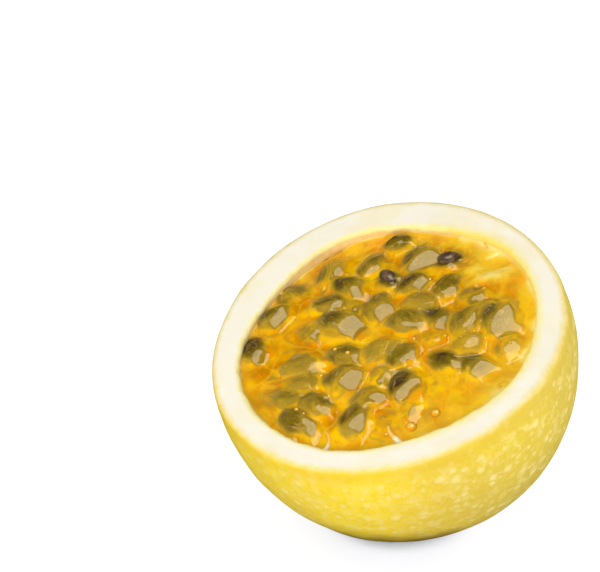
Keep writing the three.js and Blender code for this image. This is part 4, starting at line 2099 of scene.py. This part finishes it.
@dataclass
class Threads:
    """Pale threads that run from the wall over the pulp."""

    form: FruitForm
    pulp: Pulp
    finish: ThreadFinish = field(default_factory=ThreadFinish)
    sides: int = 10
    steps: int = 22
    seed: int = 71
    flatness: float = 0.62
    rule_count: int = 7
    rule_length: tuple[float, float] = (1.0, 2.0)
    rule_width: tuple[float, float] = (0.24, 0.42)
    crowd_at: float = 26.0
    crowd_spread: float = 22.0
    crowd_gain: float = 1.3
    uneven: float = 0.4
    bend_spread: float = 3.0
    tip_share: float = 0.4
    soak_least: float = 0.6
    narrowing: float = 0.7
    into_wall: float = 0.5
    main: tuple[Thread, ...] = (
        Thread(((0.9, -29.6), (0.0, -27.8), (-0.9, -26.2), (-1.2, -24.6)),
               0.85, 0.28, 0.0),
        Thread(((-14.4, -27.2), (-13.4, -25.6), (-13.1, -24.0), (-13.6, -22.4)),
               0.6, 0.16, 0.0),
    )

    def ruled(self) -> list[Thread]:
        """Short threads all round the wall, most of them on one side.

        Returns:
            The threads.
        """
        chance = Chance(self.seed)
        made = []
        for i in range(self.rule_count):
            angle = 360 * (i + chance.spread(self.uneven)) / self.rule_count
            away = (angle - self.crowd_at + 180) % 360 - 180
            gain = 1 + self.crowd_gain * math.exp(-((away / self.crowd_spread) ** 2))
            low, high = self.rule_length
            length = (low + (high - low) * chance()) * gain
            thin, thick = self.rule_width
            width = thin + (thick - thin) * chance()
            edge = float(self.pulp.edge_radius(np.array(angle * DEGREE)))
            bends = []
            for k in range(4):
                radius = edge + self.into_wall - length * k / 3
                turn = (angle + chance.spread(self.bend_spread * k)) * DEGREE
                bends.append((radius * math.cos(turn), radius * math.sin(turn)))
            soak = self.soak_least + chance() * (1 - self.soak_least)
            made.append(Thread(tuple(bends), width, width * self.tip_share, soak))
        return made

    def course(self, thread: Thread) -> tuple[Array, Array, Array]:
        """The way that a thread takes over the pulp.

        Args:
            thread: The thread.

        Returns:
            Its points in the upright fruit, and its half width and how soaked it is at
            each.
        """
        bends = np.array(thread.bends)
        at = np.linspace(0, len(bends) - 1, self.steps)
        spline = np.stack([self.smoothed(bends[:, k], at) for k in (0, 1)], 1)
        share = at / at[-1]
        thick = thread.root + (thread.tip - thread.root) * share**self.narrowing
        x, y = spline.T
        height = self.pulp.surface(x, y)["height"] + thick * self.flatness * 0.2
        soak = thread.soak + (1 - thread.soak) * smooth_step(0.1, 0.6, share)
        return np.stack([x, y, height], 1), thick, soak

    @staticmethod
    def smoothed(values: Array, at: Array) -> Array:
        """A smooth curve through values at whole places.

        Args:
            values: What the curve passes through at 0, 1, 2 and so on.
            at: The places where it is read.

        Returns:
            The curve at those places.
        """
        padded = np.concatenate([[2 * values[0] - values[1]], values,
                                 [2 * values[-1] - values[-2]]])
        low = np.minimum(np.floor(at).astype(int), len(values) - 2)
        t = at - low
        a, b, c, d = (padded[low + k] for k in range(4))
        return b + 0.5 * t * (c - a + t * (2 * a - 5 * b + 4 * c - d
                                           + t * (3 * (b - c) + d - a)))

    def build(self) -> bpy.types.Object:
        """Lays the threads out as lines and gives them their thickness.

        Returns:
            The threads as one piece.
        """
        points, thick, soak, edges = [], [], [], []
        for thread in list(self.main) + self.ruled():
            first = sum(len(p) for p in points)
            course, width, soaked = self.course(thread)
            points.append(course)
            thick.append(width * MM)
            soak.append(soaked)
            edges += [(first + i, first + i + 1) for i in range(len(course) - 1)]
        layers = {"thick": np.concatenate(thick), "soak": np.concatenate(soak)}
        placed = self.form.stand(np.concatenate(points))
        piece = mesh_object("threads", placed, [], layers, edges)
        tree = GeometryTree("wall_threads")
        line = tree.signal(tree.node("GeometryNodeMeshToCurve", None, Mesh=tree.given()))
        sides = tree.setting("Sides", Kind.COUNT, self.sides)
        ring = tree.node("GeometryNodeCurvePrimitiveCircle", None, Resolution=sides, Radius=1.0)
        tube = tree.node(
            "GeometryNodeCurveToMesh",
            None,
            Curve=line,
            Profile_Curve=tree.signal(ring),
            Scale=tree.held("thick", Values.NUMBER),
            Fill_Caps=True,
        )
        material = finish_material("thread_pale", self.finish.paint)
        return tree.work(piece, tree.signal(tube), material)

    def dress(self, piece: bpy.types.Object) -> None:
        """Gives the threads their place in the frame."""
        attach(piece, BODY)


# ---------------------------------------------------------------- the studio


@dataclass(frozen=True)
class Softbox:
    """A square light that looks at the cut face, in metres and watts."""

    name: str
    towards: Triple
    distance: float
    size: float
    power: float


@dataclass(frozen=True)
class Studio:
    """Floor, lights and camera."""

    form: FruitForm
    elevation: float = 30.0
    distance: float = 0.5
    lens: float = 150.0
    sensor: float = 36.0
    aim_right: float = -17.14
    aim_up: float = 8.89
    floor_half: float = 3.0
    floor_light: Colour = (0.72, 0.74, 0.79, 1.0)
    painted_contact_shadow: Colour = (0.08, 0.11, 0.12, 1.0)
    sky_above: float = 0.65
    sky_below: float = 0.32
    horizon: Band = (-0.9, -0.3)
    gloss_colour: Triple = (1.0, 0.86, 0.64)
    contact_reach: float = 6.5 * MM
    contact_band: Band = (0.08, 0.31)
    clip_start: float = 0.01
    # Each softbox's name, direction from the fruit, distance, side and power.
    soft_boxes: tuple[Softbox, ...] = (
        Softbox("soft_key", (-0.15, 0.25, 1.0), 1.2, 0.8, 1.75),
        Softbox("soft_front", (-0.3, -1.0, 0.15), 1.0, 0.5, 7.0),
        Softbox("soft_side", (1.0, 0.2, 0.05), 1.0, 0.4, 7.0),
    )
    gloss_box: Softbox = Softbox("wet_softbox", (0.05, -0.1, 1.0), 0.7, 0.42, 3.2)

    def build(self) -> None:
        """Sets up everything that isn't the fruit."""
        self.floor()
        self.sky()
        self.lights()
        self.camera()

    def floor(self) -> None:
        """The plain pale floor."""
        h = self.floor_half
        corners = np.array([[-h, -h, 0], [h, -h, 0], [h, h, 0], [-h, h, 0]], float)
        floor = mesh_object("floor", corners, [(0, 1, 2, 3)])
        floor.data.materials.append(finish_material("floor_matt", self.floor_paint))
        floor.visible_diffuse = False
        floor.visible_glossy = False

    def floor_paint(self, graph: Graph) -> dict[str, object]:
        """White, with a painted contact shadow: grey only where the fruit is close above it.

        Args:
            graph: The material's graph.

        Returns:
            The values and links of the shader's sockets, by name.
        """
        # Painted shadow: an ambient occlusion node darkens the floor's own glow near the fruit.
        contact = graph.node("ShaderNodeAmbientOcclusion", None, Distance=self.contact_reach)
        open_share = graph.step(graph.signal(contact, "AO"), *self.contact_band)
        return {
            "Base_Color": (0.5, 0.5, 0.5, 1.0),
            "Roughness": 1.0,
            "Specular_IOR_Level": 0.0,
            "Emission_Color": graph.mix(open_share, self.painted_contact_shadow, self.floor_light),
            "Emission_Strength": 1.0,
        }

    def sky(self) -> None:
        """The plain pale surroundings, darker below than above."""
        world = bpy.data.worlds.new("studio_white")
        world.use_nodes = True
        world.node_tree.nodes.clear()
        graph = Graph(world.node_tree)
        towards = graph.signal(graph.node("ShaderNodeTexCoord"), "Generated")
        parts = graph.node("ShaderNodeSeparateXYZ", None, Vector=towards)
        height = graph.step(graph.signal(parts, "Z"), *self.horizon)
        strength = height * (self.sky_above - self.sky_below) + self.sky_below
        light = graph.node("ShaderNodeBackground", None, Color=(1.0, 1.0, 1.0, 1.0),
                           Strength=strength)
        graph.node("ShaderNodeOutputWorld", None, Surface=graph.signal(light))
        world.cycles_visibility.glossy = False
        bpy.context.scene.world = world
        bpy.context.scene.view_settings.view_transform = "Standard"

    def area(self, box: Softbox) -> bpy.types.Object:
        """Adds a softbox.

        Args:
            box: The softbox.

        Returns:
            Its light.
        """
        lamp = bpy.data.lights.new(box.name, "AREA")
        lamp.shape = "SQUARE"
        lamp.size = box.size
        lamp.energy = box.power
        light = bpy.data.objects.new(box.name, lamp)
        direction = Vector(box.towards).normalized()
        light.location = self.form.rim_centre() + direction * box.distance
        light.rotation_euler = direction.to_track_quat("Z", "Y").to_euler()
        bpy.context.scene.collection.objects.link(light)
        return light

    def lights(self) -> None:
        """Soft light from above and in front, and a softbox that only shows in what is wet."""
        for box in self.soft_boxes:
            self.area(box).visible_glossy = False
        gloss = self.area(self.gloss_box)
        gloss.data.color = self.gloss_colour
        gloss.visible_diffuse = False
        gloss.visible_camera = False

    def camera(self) -> None:
        """The camera, looking down at the half."""
        tilt = self.elevation * DEGREE
        right = Vector((1, 0, 0))
        up = Vector((0, math.sin(tilt), math.cos(tilt)))
        back = Vector((0, -math.cos(tilt), math.sin(tilt)))
        aim = self.form.rim_centre() + (right * self.aim_right + up * self.aim_up) * MM
        data = bpy.data.cameras.new("camera")
        data.lens = self.lens
        data.sensor_width = self.sensor
        data.clip_start = self.clip_start
        camera = bpy.data.objects.new("camera", data)
        camera.location = aim + back * self.distance
        camera.rotation_euler = back.to_track_quat("Z", "Y").to_euler()
        bpy.context.scene.collection.objects.link(camera)
        bpy.context.scene.camera = camera


# ---------------------------------------------------------------- making it


def main() -> None:
    """Builds the half and its studio, and reports each piece."""
    logging.basicConfig(level=logging.INFO, format="%(name)s: %(message)s")
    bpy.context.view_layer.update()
    form = FruitForm()
    Studio(form).build()

    rind = Rind(form)
    cup = rind.build()
    rind.dress(cup)
    LOG.info("%s: %d triangles", cup.name, triangles(cup))

    sacs, shape = SacField(form).sacs(), SeedShape()
    pulp = Pulp(form, sacs, shape)
    for maker in (pulp, BareSeeds(form, sacs, shape), Bubbles(form, pulp), Threads(form, pulp)):
        piece = maker.build()
        maker.dress(piece)
        LOG.info("%s: %d triangles", piece.name, triangles(piece))

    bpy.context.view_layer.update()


if __name__ == "__main__":
    main()
